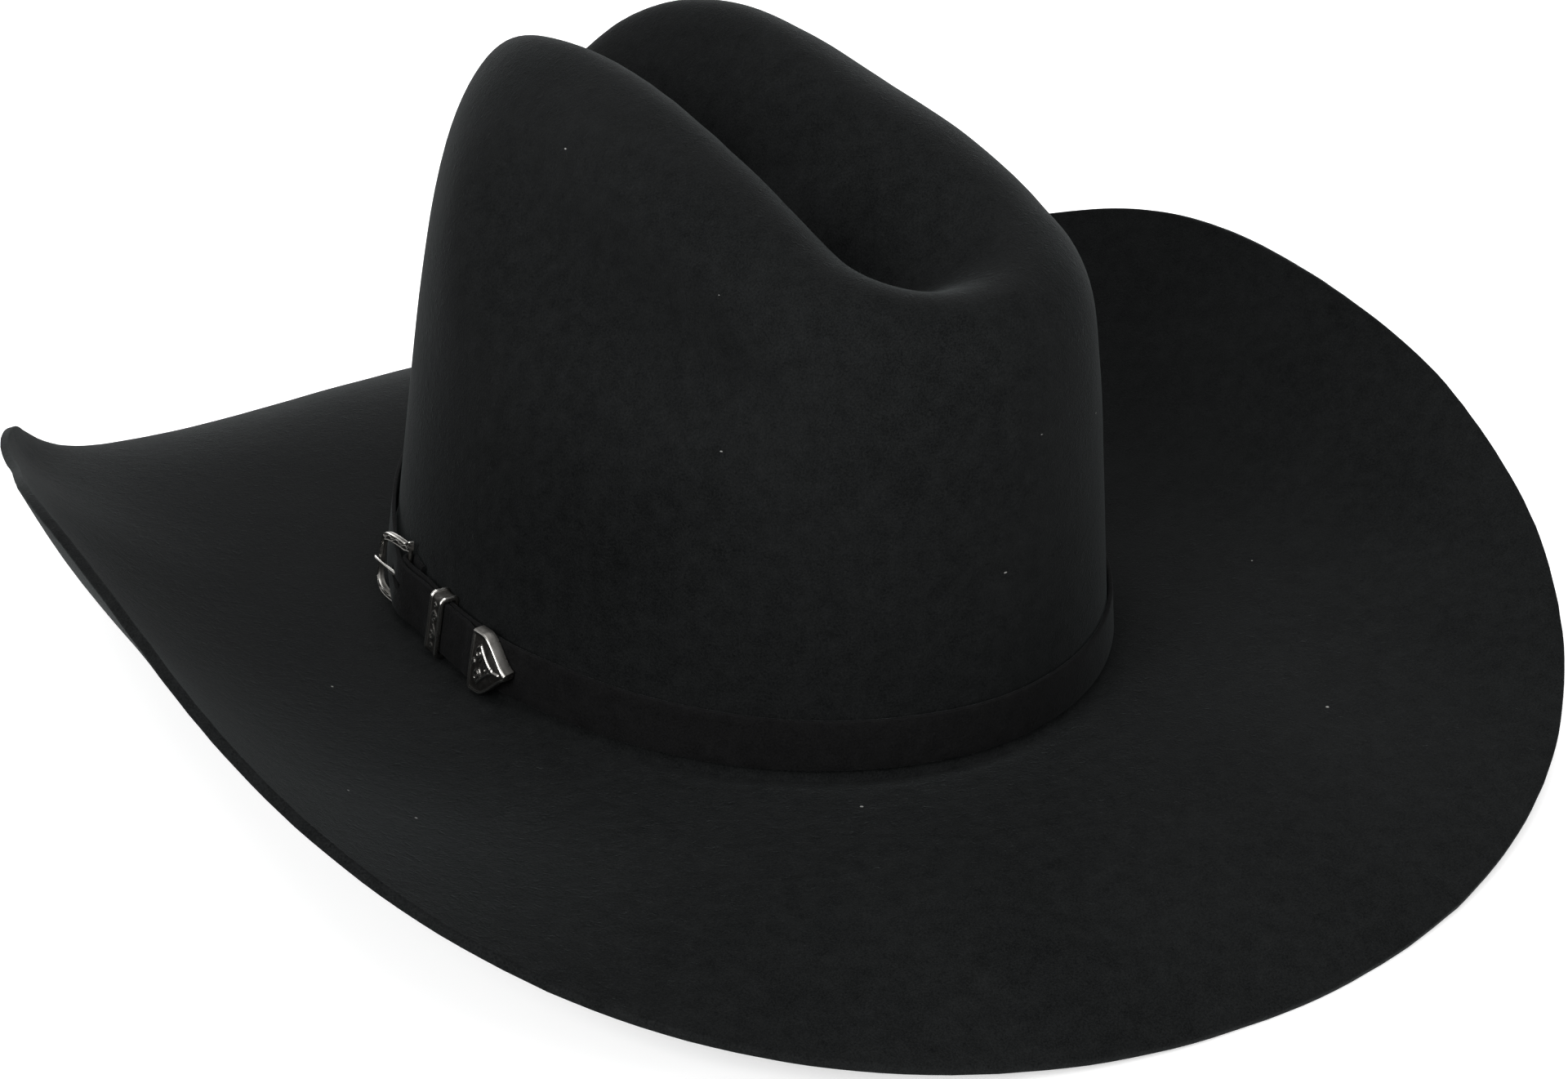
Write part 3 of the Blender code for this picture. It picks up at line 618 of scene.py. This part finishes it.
def buildStrap():
    course, section = strapCourse(), strapSection()
    rows = []
    for i, (s, out) in enumerate(course):
        ns, no = beside(course, i)
        free = smooth((s - 66.0) / 30.0) * smooth((heel - 80.0 - s) / 30.0)
        swell = strap["wave"] * noise.noise(Vector((s * 0.03, 0.0, 5.0))) * free
        rows.append([bandPoint(s + ns * side, h + swell * 2.0, out + no * side + max(0.0, swell))
                     for h, side in section])
    ob = addObject("hatBandStrap", rowsToMesh(rows), strapFelt, smoothAngle=45.0)
    slotShape = ((-1.2, 0.0), (1.2, 0.0), (1.2, 9.0), (-1.2, 9.0))
    slotRows = [[bandPoint(s, strapMiddle + h, out) for h, out in slotShape]
                for s in (-7.4, -4.0, -1.0, 2.0, 3.3)]
    cutWith(ob, rowsToMesh(slotRows))
    return ob


settle(buildStrap(), "hat", "strap_felt", "hat_band_strap")
print("strap made")


def curl(cx, cy, radius, start, turns, hand, points=46, close=0.8):
    # one scroll, wound inward
    line = []
    for i in range(points):
        part = i / (points - 1)
        turn = math.radians(start) + hand * 2.0 * math.pi * turns * part
        r = radius * (1.0 - close * part)
        line.append((cx + r * math.cos(turn), cy + r * math.sin(turn)))
    return line


def strokeHeight(lines, x, y, width):
    near = min((px - x) ** 2 + (py - y) ** 2 for line in lines for px, py in line)
    return max(0.0, 1.0 - near / (width * width)) ** 0.7


buckle = {"length": 13.0, "rail": 1.5, "toeOff": 5.7, "barRadius": 0.6, "outer": 1.15, "under": 0.6,
          "flare": 0.7, "carve": 0.34, "lip": 0.24}


def frameOff(s):
    return strap["barOff"] + (buckle["toeOff"] - strap["barOff"]) * smooth(-s / buckle["length"])


def frameCourse():
    low, high = strap["low"] - strap["metalGap"], strap["high"] + strap["metalGap"]
    middle, reach = (low + high) / 2, (high - low) / 2 + buckle["rail"] / 2
    course = []
    for k in range(8):
        s = -3.0 * k / 8
        course.append((s, middle + reach + buckle["flare"] * (1.0 - smooth(-s / 3.0))))
    for step in range(121):
        turn = math.pi * (0.5 - step / 120)
        flat = math.copysign(abs(math.sin(turn)) ** 0.45, math.sin(turn))
        course.append((-3.0 - (buckle["length"] - 3.0) * abs(math.cos(turn)) ** 0.6, middle + reach * flat))
    for k in range(1, 9):
        s = -3.0 + 3.0 * k / 8
        course.append((s, middle - reach - 0.2 * buckle["flare"] * smooth(1.0 + s / 3.0)))
    return course


def evenCourse(course, spacing):
    # walk a course in equal steps
    result, left = [course[0]], spacing
    for (s0, h0), (s1, h1) in zip(course, course[1:]):
        size = math.hypot(s1 - s0, h1 - h0)
        if size < 1e-6:
            continue
        at = left
        while at <= size:
            result.append((s0 + (s1 - s0) * at / size, h0 + (h1 - h0) * at / size))
            at += spacing
        left = at - size
    result[-1] = course[-1]
    return result


def buildFrame():
    course = evenCourse(frameCourse(), 0.19)
    rows = []
    length = 0.19 * len(course)
    for i, (s, h) in enumerate(course):
        ns, nh = beside(course, i)
        run = 0.19 * i
        low = smooth((strapMiddle - 3.0 - h) / 3.0)
        outer = buckle["outer"] + 0.75 * (1.0 - smooth(-s / 2.6)) * (1.0 - low) - 0.4 * low
        inner = buckle["rail"] / 2
        off = frameOff(s)
        ring = []
        for k in range(21):
            across = -outer + (outer + inner) * k / 20
            centred = (2.0 * k / 20 - 1.0)
            dome = 0.5 + 0.15 * (1.0 - centred ** 2)
            rim = smooth((abs(centred) - 0.62) / 0.2) * (1.0 - smooth((abs(centred) - 0.9) / 0.1))
            vine = max(0.0, 1.0 - abs(centred - 0.42 * math.sin(run * 1.9)) / 0.28)
            leaf = max(0.0, 1.0 - math.hypot((run * 1.9 / math.pi) % 1.0 - 0.5, centred * 0.9) / 0.3)
            mark = max(rim * 0.9, vine ** 0.8, leaf)
            rise = dome + buckle["carve"] * vine * 0.8 + buckle["lip"] * rim + 0.2 * leaf
            if k in (0, 20):
                rise = 0.25
            ring.append((bandPoint(s + ns * across, h + nh * across, off + rise), mark))
        for k in (20, 14, 6, 0):
            across = -outer + (outer + inner) * k / 20
            ring.append((bandPoint(s + ns * across * 0.94, h + nh * across * 0.94,
                                   off - buckle["under"]), 0.3))
        rows.append(ring)
    bm = rowsToMesh(rows)
    foot = bandPoint(0.0, course[-1][1] + 0.2, strap["barOff"])
    head = bandPoint(0.0, course[0][1] - 0.2, strap["barOff"])
    turn = (head - foot).to_track_quat("Z", "Y").to_matrix().to_4x4()
    bmesh.ops.create_cone(bm, cap_ends=True, segments=20, radius1=buckle["barRadius"] * mm,
                          radius2=buckle["barRadius"] * mm, depth=(head - foot).length,
                          matrix=Matrix.Translation((head + foot) / 2) @ turn)
    return addObject("buckleFrame", bm, silver, smoothAngle=55.0), foot, head


frameOb, foot, head = buildFrame()
settle(frameOb, "hat", "buckle_metal", "buckle_frame")

prong = {"radius": 0.6, "tipRadius": 0.42, "sides": 16}


def buildProng():
    axis = (head - foot).normalized()
    pivot = foot + axis * (bandPoint(0.0, strapMiddle, strap["barOff"]) - foot).dot(axis)
    off = bandPoint(0.0, strapMiddle, strap["barOff"] + 1.0) - bandPoint(0.0, strapMiddle, strap["barOff"])
    off = (off - axis * off.dot(axis)).normalized()
    along = off.cross(axis).normalized()
    toe = bandPoint(-buckle["length"], strapMiddle, buckle["toeOff"] + 1.55) - pivot
    if toe.dot(along) < 0:
        along = -along
    bend = buckle["barRadius"] + strap["metalGap"] + prong["radius"]
    path = []
    for step in range(31):
        turn = math.radians(-215.0 + 265.0 * step / 30)
        path.append((bend * math.sin(turn), bend * math.cos(turn)))
    reach, rise = toe.dot(along) / mm, toe.dot(off) / mm
    start = path[-1]
    for k in range(1, 25):
        part = 1.13 * k / 24
        lower = 0.12 * smooth((part - 1.0) / 0.13)
        path.append((start[0] + (reach - start[0]) * part,
                     start[1] + (rise - start[1]) * min(1.0, part ** 0.8) - lower))
    rows = []
    for i, (x, y) in enumerate(path):
        nx, ny = beside(path, i)
        part = i / (len(path) - 1)
        radius = prong["radius"] - (prong["radius"] - prong["tipRadius"]) * smooth((part - 0.6) / 0.3)
        if i == len(path) - 1:
            radius *= 0.55
        if i == len(path) - 2:
            radius *= 0.9
        ring = []
        for k in range(prong["sides"]):
            turn = 2.0 * math.pi * k / prong["sides"]
            wide = radius * math.cos(turn)
            deep = radius * math.sin(turn)
            spot = pivot + (along * (x + nx * deep) + off * (y + ny * deep) + axis * wide) * mm
            ring.append((spot, 0.72 + 0.3 * max(0.0, math.sin(turn))))
        rows.append(ring)
    return addObject("bucklePin", rowsToMesh(rows), silver)


settle(buildProng(), "prong", "buckle_metal", "buckle_prong")


def buildKeeper():
    low, high = strap["low"] - strap["metalGap"], strap["high"] + strap["metalGap"]
    innerOff = strap["metalGap"] + keeper["wall"]
    outerOff = innerOff + 2 * strap["metalGap"] + 2 * strap["thick"] + strap["gap"]
    corner = keeper["corner"]
    centre = (keeper["angle"] - strap["barAngle"]) * strap["perDegree"]
    corners = [(high, outerOff, 0), (low, outerOff, 90), (low, innerOff, 180), (high, innerOff, 270)]
    middleOff = (innerOff + outerOff) / 2
    path = []
    for n, (h, out, start) in enumerate(corners):
        hIn = h - math.copysign(corner, h - strapMiddle)
        outIn = out - math.copysign(corner, out - middleOff)
        for step in range(7):
            turn = math.radians(start + 15.0 * step)
            path.append((hIn, outIn, math.cos(turn), math.sin(turn)))
        nextH, nextOut = corners[(n + 1) % 4][:2]
        nextH -= math.copysign(corner, nextH - strapMiddle)
        nextOut -= math.copysign(corner, nextOut - middleOff)
        turn = math.radians(start + 90.0)
        steps = (58, 6, 20, 6)[n]
        for k in range(1, steps):
            part = k / steps
            path.append((hIn + (nextH - hIn) * part, outIn + (nextOut - outIn) * part,
                         math.cos(turn), math.sin(turn)))
    stem = [(strapMiddle + 3.6 - 7.2 * k / 30, 0.9 * math.sin(math.pi * (k / 15 - 1.0)))
            for k in range(31)]
    scrolls = [curl(strapMiddle + 2.3, 0.25, 1.45, 200, 1.35, 1),
               curl(strapMiddle - 2.3, -0.25, 1.45, 20, 1.35, 1), stem,
               curl(strapMiddle + 5.2, 0.0, 0.55, 0, 1.0, 1, 16, 0.3),
               curl(strapMiddle - 5.2, 0.0, 0.55, 0, 1.0, 1, 16, 0.3)]
    rows = []
    for h, out, ch, co in path:
        ring = []
        front = co > 0.5
        for k in range(33):
            ds = -1.0 + 2.0 * k / 32
            across = ds * keeper["width"] / 2
            edge = keeper["width"] / 2 - abs(across)
            lip = smooth(edge / 0.25 + 0.35) * (1.0 - smooth((edge - keeper["lipWidth"] * 0.62) / 0.3))
            mark, rise = lip, keeper["lip"] * lip
            if front:
                stroke = strokeHeight(scrolls, h, across, 0.34) * (1.0 - lip)
                mark, rise = max(mark, stroke), rise + 0.3 * stroke
            radius = corner + keeper["wall"] + rise
            ring.append((bandPoint(centre + across, h + radius * ch, out + radius * co), mark))
        for ds in (1.0, 0.4, -0.4, -1.0):
            ring.append((bandPoint(centre + ds * keeper["width"] / 2 * 0.985, h + corner * ch,
                                   out + corner * co), 0.3))
        rows.append(ring)
    return addObject("strapKeeper", rowsToMesh(rows, loop=True), silver, smoothAngle=60.0)


settle(buildKeeper(), "keeper", "buckle_metal", "strap_keeper")

tip = {"start": 97.2, "length": 12.0, "pattern": 16.5, "carve": 0.42, "lip": 0.34}


def buildTip():
    start = (tip["start"] - strap["barAngle"]) * strap["perDegree"]
    half = (strap["high"] - strap["low"]) / 2 + strap["metalGap"] + 0.5
    tongue = tongueLow + strap["tipLift"]
    back = tongue - strap["thick"] / 2 - strap["metalGap"] - 0.3
    front = tongue + strap["thick"] / 2 + strap["metalGap"] + 0.7
    lines = [curl(4.1, 2.7, 1.9, -60, 1.45, 1), curl(4.1, -2.7, 1.9, 60, 1.45, -1),
             [(4.6 + 6.2 * k / 30, 4.3 * (1.0 - k / 30) ** 1.4 + 0.35) for k in range(31)],
             [(4.6 + 6.2 * k / 30, -4.3 * (1.0 - k / 30) ** 1.4 - 0.35) for k in range(31)],
             curl(8.3, 0.0, 0.75, 0, 1.0, 1, 20, 0.2), [(10.6 + 3.2 * k / 16, 0.0) for k in range(17)],
             curl(1.9, 0.0, 0.6, 0, 1.0, 1, 16, 0.3)]
    rows = []
    stations = 86
    for i in range(stations + 1):
        part = i / stations
        wide = half * (1.0 - smooth((part - 0.25) / 0.85)) + 0.5
        dome = 0.35 * math.sin(math.pi * (0.1 + 0.8 * part))
        s = start + tip["length"] * part
        ring = []
        for k in range(49):
            across = -wide + 2.0 * wide * k / 48
            side = abs(across) / wide
            crown = front + dome * (1.0 - side ** 2.2) - 0.3 * side ** 3
            edge = min(wide - abs(across), tip["length"] * part + 0.25, tip["length"] * (1.0 - part) + 0.3)
            lip = smooth(edge / 0.2 + 0.2) * (1.0 - smooth((edge - 0.6) / 0.32))
            stroke = strokeHeight(lines, tip["pattern"] * part, across, 0.46) * (1.0 - lip)
            ring.append((bandPoint(s, strapMiddle + across, crown + tip["lip"] * lip + tip["carve"] * stroke),
                         max(lip, stroke)))
        for k in range(9):
            across = wide - 2.0 * wide * k / 8
            ring.append((bandPoint(s, strapMiddle + across * 0.99, back), 0.3))
        rows.append(ring)
    ob = addObject("strapTip", rowsToMesh(rows), silver, smoothAngle=60.0)
    end = (strap["tongueEnd"] - strap["barAngle"]) * strap["perDegree"] + strap["metalGap"]
    deep = strap["thick"] / 2 + strap["metalGap"] + 0.1
    low, high = strap["low"] - strap["metalGap"], strap["high"] + strap["metalGap"]
    pocket = [[bandPoint(s, h, out) for h, out in ((low, tongue - deep), (low, tongue + deep),
                                                   (high, tongue + deep), (high, tongue - deep))]
              for s in (start - 2.0, start + 1.5, end)]
    cutWith(ob, rowsToMesh(pocket))
    return ob


settle(buildTip(), "hat", "buckle_metal", "strap_tip")
print("buckle set made")

sweat = {"leather": 0.9, "reed": 1.1, "around": 240, "joint": 0.35,
         "stitchHeight": 7.6, "stitchPitch": 2.4}
rollRadius = sweat["reed"] + 0.35
rollDepth = 0.3 + 0.35 + sweat["leather"] + rollRadius


def sweatDepth(h):
    knots = ((2.0, 4.95), (14.0, 3.5), (24.0, 2.5), (36.0, 2.4), (48.0, 2.4))
    for (h0, d0), (h1, d1) in zip(knots, knots[1:]):
        if h <= h1:
            return d0 + (d1 - d0) * (h - h0) / (h1 - h0)
    return knots[-1][1]


def seamAngles(count, gap):
    first, whole = math.pi + math.radians(gap), 2.0 * math.pi - 2.0 * math.radians(gap)
    return [first + whole * i / count for i in range(count + 1)]


def buildSweatband():
    outer, inner = [], []
    for step in range(13):
        turn = math.radians(15.0 * step)
        for line, radius in ((outer, rollRadius + sweat["leather"]), (inner, rollRadius)):
            line.append((2.0 - radius * math.sin(turn), rollDepth - radius * math.cos(turn)))
    walls = [(14.0, 2.6), (19.0, 2.05), (24.0, 1.65), (30.0, 1.52), (36.0, 1.5), (41.2, 1.5)]
    outside = [(9.0, outer[0][1])] + outer
    inside = [(9.0, inner[0][1])] + inner
    groove = [(41.8, 0.0), (42.0, -0.16), (42.5, -0.16), (42.7, 0.0),
              (43.9, 0.0), (44.1, -0.16), (44.6, -0.16), (44.8, 0.0)]
    outside += [(h, d + sweat["leather"]) for h, d in walls]
    outside += [(h, 1.5 + sweat["leather"] + d) for h, d in groove]
    outside += [(47.4, 1.5 + sweat["leather"]), (47.9, 1.5 + sweat["leather"] - 0.25),
                (48.0, 1.5 + sweat["leather"] / 2)]
    inside += walls + [(47.6, 1.5), (47.95, 1.7)]
    profile = outside + inside[::-1]
    rows = [[innerPoint(a, h, d) for h, d in profile] for a in seamAngles(sweat["around"], sweat["joint"])]
    return addObject("sweatband", rowsToMesh(rows), leather, smoothAngle=40.0)


settle(buildSweatband(), "hat", "sweat_leather", "sweatband")


def addStitch(bm, spot, run, face, length, radius):
    # one stitch lies along run, raised towards face
    side = run.cross(face).normalized()
    turn = Matrix((run.normalized(), side, face.normalized())).transposed().to_4x4()
    size = Matrix.Diagonal((length / 2 * mm, radius * mm, radius * 0.8 * mm, 1.0))
    bmesh.ops.create_uvsphere(bm, u_segments=7, v_segments=5, radius=1.0,
                              matrix=Matrix.Translation(spot) @ turn @ size)


def inwardAt(a, h, depth):
    return (innerPoint(a, h, depth + 0.5) - innerPoint(a, h, depth)).normalized()


def buildSweatStitches():
    bm = bmesh.new()
    count = int(560.0 / sweat["stitchPitch"])
    for i in range(count):
        a = math.pi + math.radians(5.0) + (2.0 * math.pi - math.radians(10.0)) * (i + 0.5) / count
        h = sweat["stitchHeight"]
        depth = sweatDepth(h) + 0.05
        run = innerPoint(a + 0.004, h, depth) - innerPoint(a - 0.004, h, depth)
        addStitch(bm, innerPoint(a, h, depth), run, inwardAt(a, h, depth), 1.75, 0.27)
    return addObject("sweatbandStitches", bm, threadLook)


settle(buildSweatStitches(), "hat", "sweat_leather")

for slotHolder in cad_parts["sweatband_reed"].material_slots:
    slotHolder.material = reedLook

patch = {"low": 6.5, "high": 44.0, "wide": 4.2, "thick": 0.7}


def buildPatch():
    rows = []
    steps = 40
    for i in range(steps + 1):
        part = i / steps
        h = patch["low"] + (patch["high"] - patch["low"]) * part
        nose = math.sqrt(max(0.0, 1.0 - max(0.0, (part - 0.93) / 0.07) ** 2)) * 0.35 + 0.65
        nose *= math.sqrt(max(0.0, 1.0 - max(0.0, (0.07 - part) / 0.07) ** 2)) * 0.35 + 0.65
        wide = math.radians(patch["wide"]) * nose
        depth = sweatDepth(h) + 0.35 + 0.3
        ring = [innerPoint(math.pi - wide + 2.0 * wide * k / 8, h, depth) for k in range(9)]
        for k in range(17):
            side = 1.0 - 2.0 * k / 16
            groove = 0.12 * hill(abs(side), (0.8, 0.06))
            thick = patch["thick"] * (1.0 - 0.45 * abs(side) ** 8) - groove
            ring.append(innerPoint(math.pi + wide * side, h, depth + thick))
        rows.append(ring)
    return addObject("seamPatch", rowsToMesh(rows), leather, smoothAngle=50.0)


settle(buildPatch(), "hat", "sweat_leather", "sweatband_seam_patch")


def buildPatchStitches():
    bm = bmesh.new()
    for side in (-1.0, 1.0):
        for i in range(14):
            h = 10.0 + 31.5 * i / 13
            a = math.pi + side * math.radians(patch["wide"]) * 0.8
            depth = sweatDepth(h) + 0.35 + 0.3 + patch["thick"] - 0.12
            spot = innerPoint(a, h, depth)
            above = innerPoint(a, h + 0.5, sweatDepth(h + 0.5) + 1.23)
            run = above - innerPoint(a, h - 0.5, sweatDepth(h - 0.5) + 1.23)
            addStitch(bm, spot, run, inwardAt(a, h, depth), 1.7, 0.24)
    return addObject("patchStitches", bm, threadLook)


settle(buildPatchStitches(), "hat", "sweat_leather")

bow = {"height": 10.5, "span": 5.0, "ribbon": 0.35}


def buildBow():
    depth = sweatDepth(9.0) + 0.35 + 0.3 + 0.7 + 0.35 + 0.3
    parts = bmesh.new()

    def ribbonPoint(x, y, z):
        # x across the band in mm, y up, z into the head
        return innerPoint(math.pi + math.radians(bow["span"]) * x / 7.8, bow["height"] + y, depth + z)

    def addRibbon(shape, along, across):
        bm = rowsToMesh([[shape(i / along, k / across) for k in range(across + 1)] for i in range(along + 1)],
                        round=False, capEnds=False)
        bm.normal_update()
        bmesh.ops.solidify(bm, geom=bm.faces[:], thickness=bow["ribbon"] * mm)
        mesh = bpy.data.meshes.new("ribbon")
        bm.to_mesh(mesh)
        bm.free()
        parts.from_mesh(mesh)

    for side in (-1.0, 1.0):
        def loopShape(u, w, side=side):
            turn = 2.0 * math.pi * u
            x = side * (0.9 + 3.2 * (1.0 - math.cos(turn)))
            open_ = 0.95 + 0.75 * math.sin(turn)
            tall = 1.0 + 1.5 * math.sin(math.pi * min(1.0, abs(x) / 7.6)) ** 0.8
            return ribbonPoint(x, (w - 0.5) * 2.0 * tall, open_ + 0.1 * math.sin(9.0 * w))

        def tailShape(u, w, side=side):
            x = side * (0.5 + 4.2 * u)
            wide = (1.7 + 0.7 * u) * (1.0 if u < 0.95 else 0.9)
            return ribbonPoint(x, -0.4 - 2.7 * u + (w - 0.5) * wide, 0.35 + 0.2 * math.sin(3.0 * u))
        addRibbon(loopShape, 30, 6)
        addRibbon(tailShape, 14, 5)

    def knotShape(u, w):
        turn = 2.0 * math.pi * u
        return ribbonPoint((w - 0.5) * 2.2, 1.55 * math.cos(turn), 1.0 + 0.95 * math.sin(turn))
    addRibbon(knotShape, 20, 5)
    bmesh.ops.remove_doubles(parts, verts=parts.verts, dist=1e-6)
    return addObject("sweatbandBow", parts, ribbonLook, smoothAngle=60.0)


settle(buildBow(), "hat", "ribbon", "sweatband_bow")
print("sweatband made")

lining = {"cloth": 0.5, "top": 88.0, "around": 264, "gathers": 66, "gather": 0.9}


def liningRim(a, grow=0.0):
    return (47.0 + grow) * math.sin(a), -(83.0 + grow) * math.cos(a) + 4.0, lining["top"] + 3.0


def buildLiningSide():
    angles = [2.0 * math.pi * i / lining["around"] for i in range(lining["around"])]
    rows = []
    for a in angles:
        column = [innerPoint(a, h, 0.4) for h in (30.0, 36.0, 42.0, 48.0)]
        footing = innerPoint(a, 51.0, 0.4)
        x, y, z = liningRim(a, 0.5)
        seam = place(x, y, z - 1.2)
        middle = place(0.0, 4.0, 70.0)
        for step in range(25):
            part = step / 24
            inward = part ** 1.6
            spot = Vector((footing.x + (seam.x - footing.x) * inward,
                           footing.y + (seam.y - footing.y) * inward,
                           footing.z + (seam.z - footing.z) * part))
            shift = 1.3 * noise.noise(Vector((math.cos(a) * 6.0, math.sin(a) * 6.0, part)))
            pleat = math.sin(a * lining["gathers"] + shift)
            pull = lining["gather"] * (0.5 + 0.5 * pleat) * smooth((part - 0.1) / 0.5) * (0.55 + 0.45 * part)
            slack = 0.8 * smooth(part * 3.0) * smooth((1.0 - part) * 3.0) * (1.0 + noise.noise(spot * 40.0))
            toward = (middle - spot)
            toward.z = 0.0
            column.append(spot + toward.normalized() * (pull + slack) * mm)
        rows.append(column)
    bm = rowsToMesh(rows, round=False, loop=True, capEnds=False)
    ob = addObject("liningSide", bm, satinSide, smoothAngle=70.0, inside=Vector((0.0, 0.0, 0.05)))
    addModifier(ob, "SOLIDIFY", thickness=lining["cloth"] * mm, offset=-1.0, use_even_offset=True)
    return ob


def buildLiningTip():
    def tipShape(a, s):
        x, y, z = liningRim(a)
        dome = 5.0 * (1.0 - smooth((s - 0.42) / 0.56))
        pucker = 0.22 * math.sin(a * lining["gathers"]) * smooth((s - 0.75) / 0.2) * smooth((1.0 - s) / 0.03)
        return place(x * s, 4.0 + (y - 4.0) * s, z + 0.4 + dome + pucker)
    stations = [0.985, 0.975, 0.955, 0.93] + [0.93 * (1.0 - k / 22) for k in range(1, 23)]
    bm = spinRings(stations, lining["around"], tipShape)
    uvLayer = bm.loops.layers.uv.new("UVMap")
    for face in bm.faces:
        for corner in face.loops:
            corner[uvLayer].uv = (corner.vert.co.x * 5.0 + 0.5, corner.vert.co.y * 5.0 + 0.5)
    ob = addObject("liningTip", bm, satinTip, smoothAngle=70.0, inside=Vector((0.0, 0.0, 0.0)))
    addModifier(ob, "SOLIDIFY", thickness=lining["cloth"] * mm, offset=-1.0)
    return ob


def buildPiping():
    rows = []
    for i in range(lining["around"]):
        a = 2.0 * math.pi * i / lining["around"]
        x, y, z = liningRim(a, -1.1)
        nx, ny = math.sin(a) / 47.0, -math.cos(a) / 83.0
        size = math.hypot(nx, ny)
        ring = []
        for k in range(10):
            turn = 2.0 * math.pi * k / 10
            radius = 0.75 + 0.05 * math.sin(a * 180.0)
            ring.append(place(x + nx / size * radius * math.cos(turn),
                              y + ny / size * radius * math.cos(turn), z - 1.1 + radius * math.sin(turn)))
        rows.append(ring)
    return addObject("liningPiping", rowsToMesh(rows, loop=True), satinSide)


side = settle(buildLiningSide(), "hat", "lining_satin", "lining_side")
top = settle(buildLiningTip(), "hat", "lining_satin", "lining_tip")
piping = settle(buildPiping(), "hat", "lining_satin")

shield = {"halfWide": 17.0, "halfLong": 24.0, "thick": 0.4, "power": 1.25}


def shieldSize(a):
    power = shield["power"]
    return 1.0 / (abs(math.cos(a)) ** power + abs(math.sin(a)) ** power) ** (1.0 / power)


def shieldSpot(a, shrink, z):
    size = shieldSize(a) * shrink
    return place(shield["halfWide"] * size * math.cos(a), 4.0 + shield["halfLong"] * size * math.sin(a), z)


shieldZ = lining["top"] + 3.4 + 5.0 - 0.7 - 0.35


def buildShield():
    bm = bmesh.new()
    bmesh.ops.create_circle(bm, cap_ends=True, segments=120, radius=1.0)
    for v in bm.verts:
        v.co = shieldSpot(math.atan2(v.co.y, v.co.x), 1.0, shieldZ)
    bmesh.ops.inset_region(bm, faces=bm.faces[:], thickness=0.8 * mm, depth=0.0)
    bm.normal_update()
    grown = bmesh.ops.extrude_face_region(bm, geom=bm.faces[:])
    moved = [item for item in grown["geom"] if isinstance(item, bmesh.types.BMVert)]
    bmesh.ops.translate(bm, verts=moved, vec=(0.0, 0.0, -shield["thick"] * mm))
    ob = addObject("crestShield", bm, filmLook, smoothAngle=35.0)
    return ob


def buildShieldStitches():
    bm = bmesh.new()
    count = 52
    for i in range(count):
        a = 2.0 * math.pi * (i + 0.5) / count
        spot = shieldSpot(a, 0.94, shieldZ - shield["thick"])
        run = shieldSpot(a + 0.02, 0.94, shieldZ) - shieldSpot(a - 0.02, 0.94, shieldZ)
        addStitch(bm, spot, run, Vector((0.0, 0.0, -1.0)), 1.5, 0.2)
    return addObject("shieldStitches", bm, threadLook)


settle(buildShield(), "hat", "clear_film", "lining_crest_shield")
settle(buildShieldStitches(), "hat", "lining_satin")
print("lining made")

studio = {"skyStrength": 0.5, "exposure": 0.0}
view = {"turn": 144.27, "tilt": 25.01, "roll": -0.551, "away": 0.7068,
        "aim": (-0.0332, -0.0333, 0.0037), "lens": 58.69}


def buildFloor():
    bm = bmesh.new()
    bmesh.ops.create_grid(bm, x_segments=8, y_segments=8, size=6.0)
    ob = addObject("studioFloor", bm, makePaper("studioPaper"))
    return ob


def addSoftbox(name, spot, target, size, power):
    lamp = bpy.data.lights.new(name, "AREA")
    lamp.shape, lamp.size, lamp.size_y = "RECTANGLE", size[0], size[1]
    lamp.energy = power
    ob = bpy.data.objects.new(name, lamp)
    bpy.context.scene.collection.objects.link(ob)
    ob.location = spot
    ob.rotation_euler = (Vector(target) - Vector(spot)).to_track_quat("-Z", "Y").to_euler()
    return ob


def buildCamera():
    turn, tilt = math.radians(view["turn"]), math.radians(view["tilt"])
    back = Vector((math.sin(turn) * math.cos(tilt), -math.cos(turn) * math.cos(tilt), math.sin(tilt)))
    camera = bpy.data.cameras.new("studioCamera")
    camera.lens, camera.sensor_width, camera.clip_start = view["lens"], 36.0, 0.01
    ob = bpy.data.objects.new("studioCamera", camera)
    bpy.context.scene.collection.objects.link(ob)
    ob.rotation_mode = "QUATERNION"
    roll = Quaternion((0.0, 0.0, 1.0), math.radians(view["roll"]))
    ob.rotation_quaternion = back.to_track_quat("Z", "Y") @ roll
    ob.location = Vector(view["aim"]) + back * view["away"]
    bpy.context.scene.camera = ob
    return ob


buildFloor()
world = bpy.data.worlds.new("studioWorld")
world.use_nodes = True
world.node_tree.nodes["Background"].inputs["Color"].default_value = (1.0, 1.0, 1.0, 1.0)
world.node_tree.nodes["Background"].inputs["Strength"].default_value = studio["skyStrength"]
bpy.context.scene.world = world
addSoftbox("topSoftbox", (0.1, 0.0, 1.5), (0.0, 0.0, 0.05), (1.4, 1.4), 10.0)
addSoftbox("faceSoftbox", (1.55, 0.75, 1.05), (0.0, 0.0, 0.05), (1.2, 1.0), 31.0)
addSoftbox("rearSoftbox", (-0.9, -1.5, 0.75), (0.0, 0.0, 0.05), (1.8, 1.0), 16.0)
addSoftbox("rightSoftbox", (-0.5, 1.6, 1.1), (0.0, 0.0, 0.05), (1.0, 1.0), 9.0)
buildCamera()
scene = bpy.context.scene
scene.view_settings.view_transform = "Standard"
scene.view_settings.look = "None"
scene.view_settings.exposure = studio["exposure"]
print("studio set")
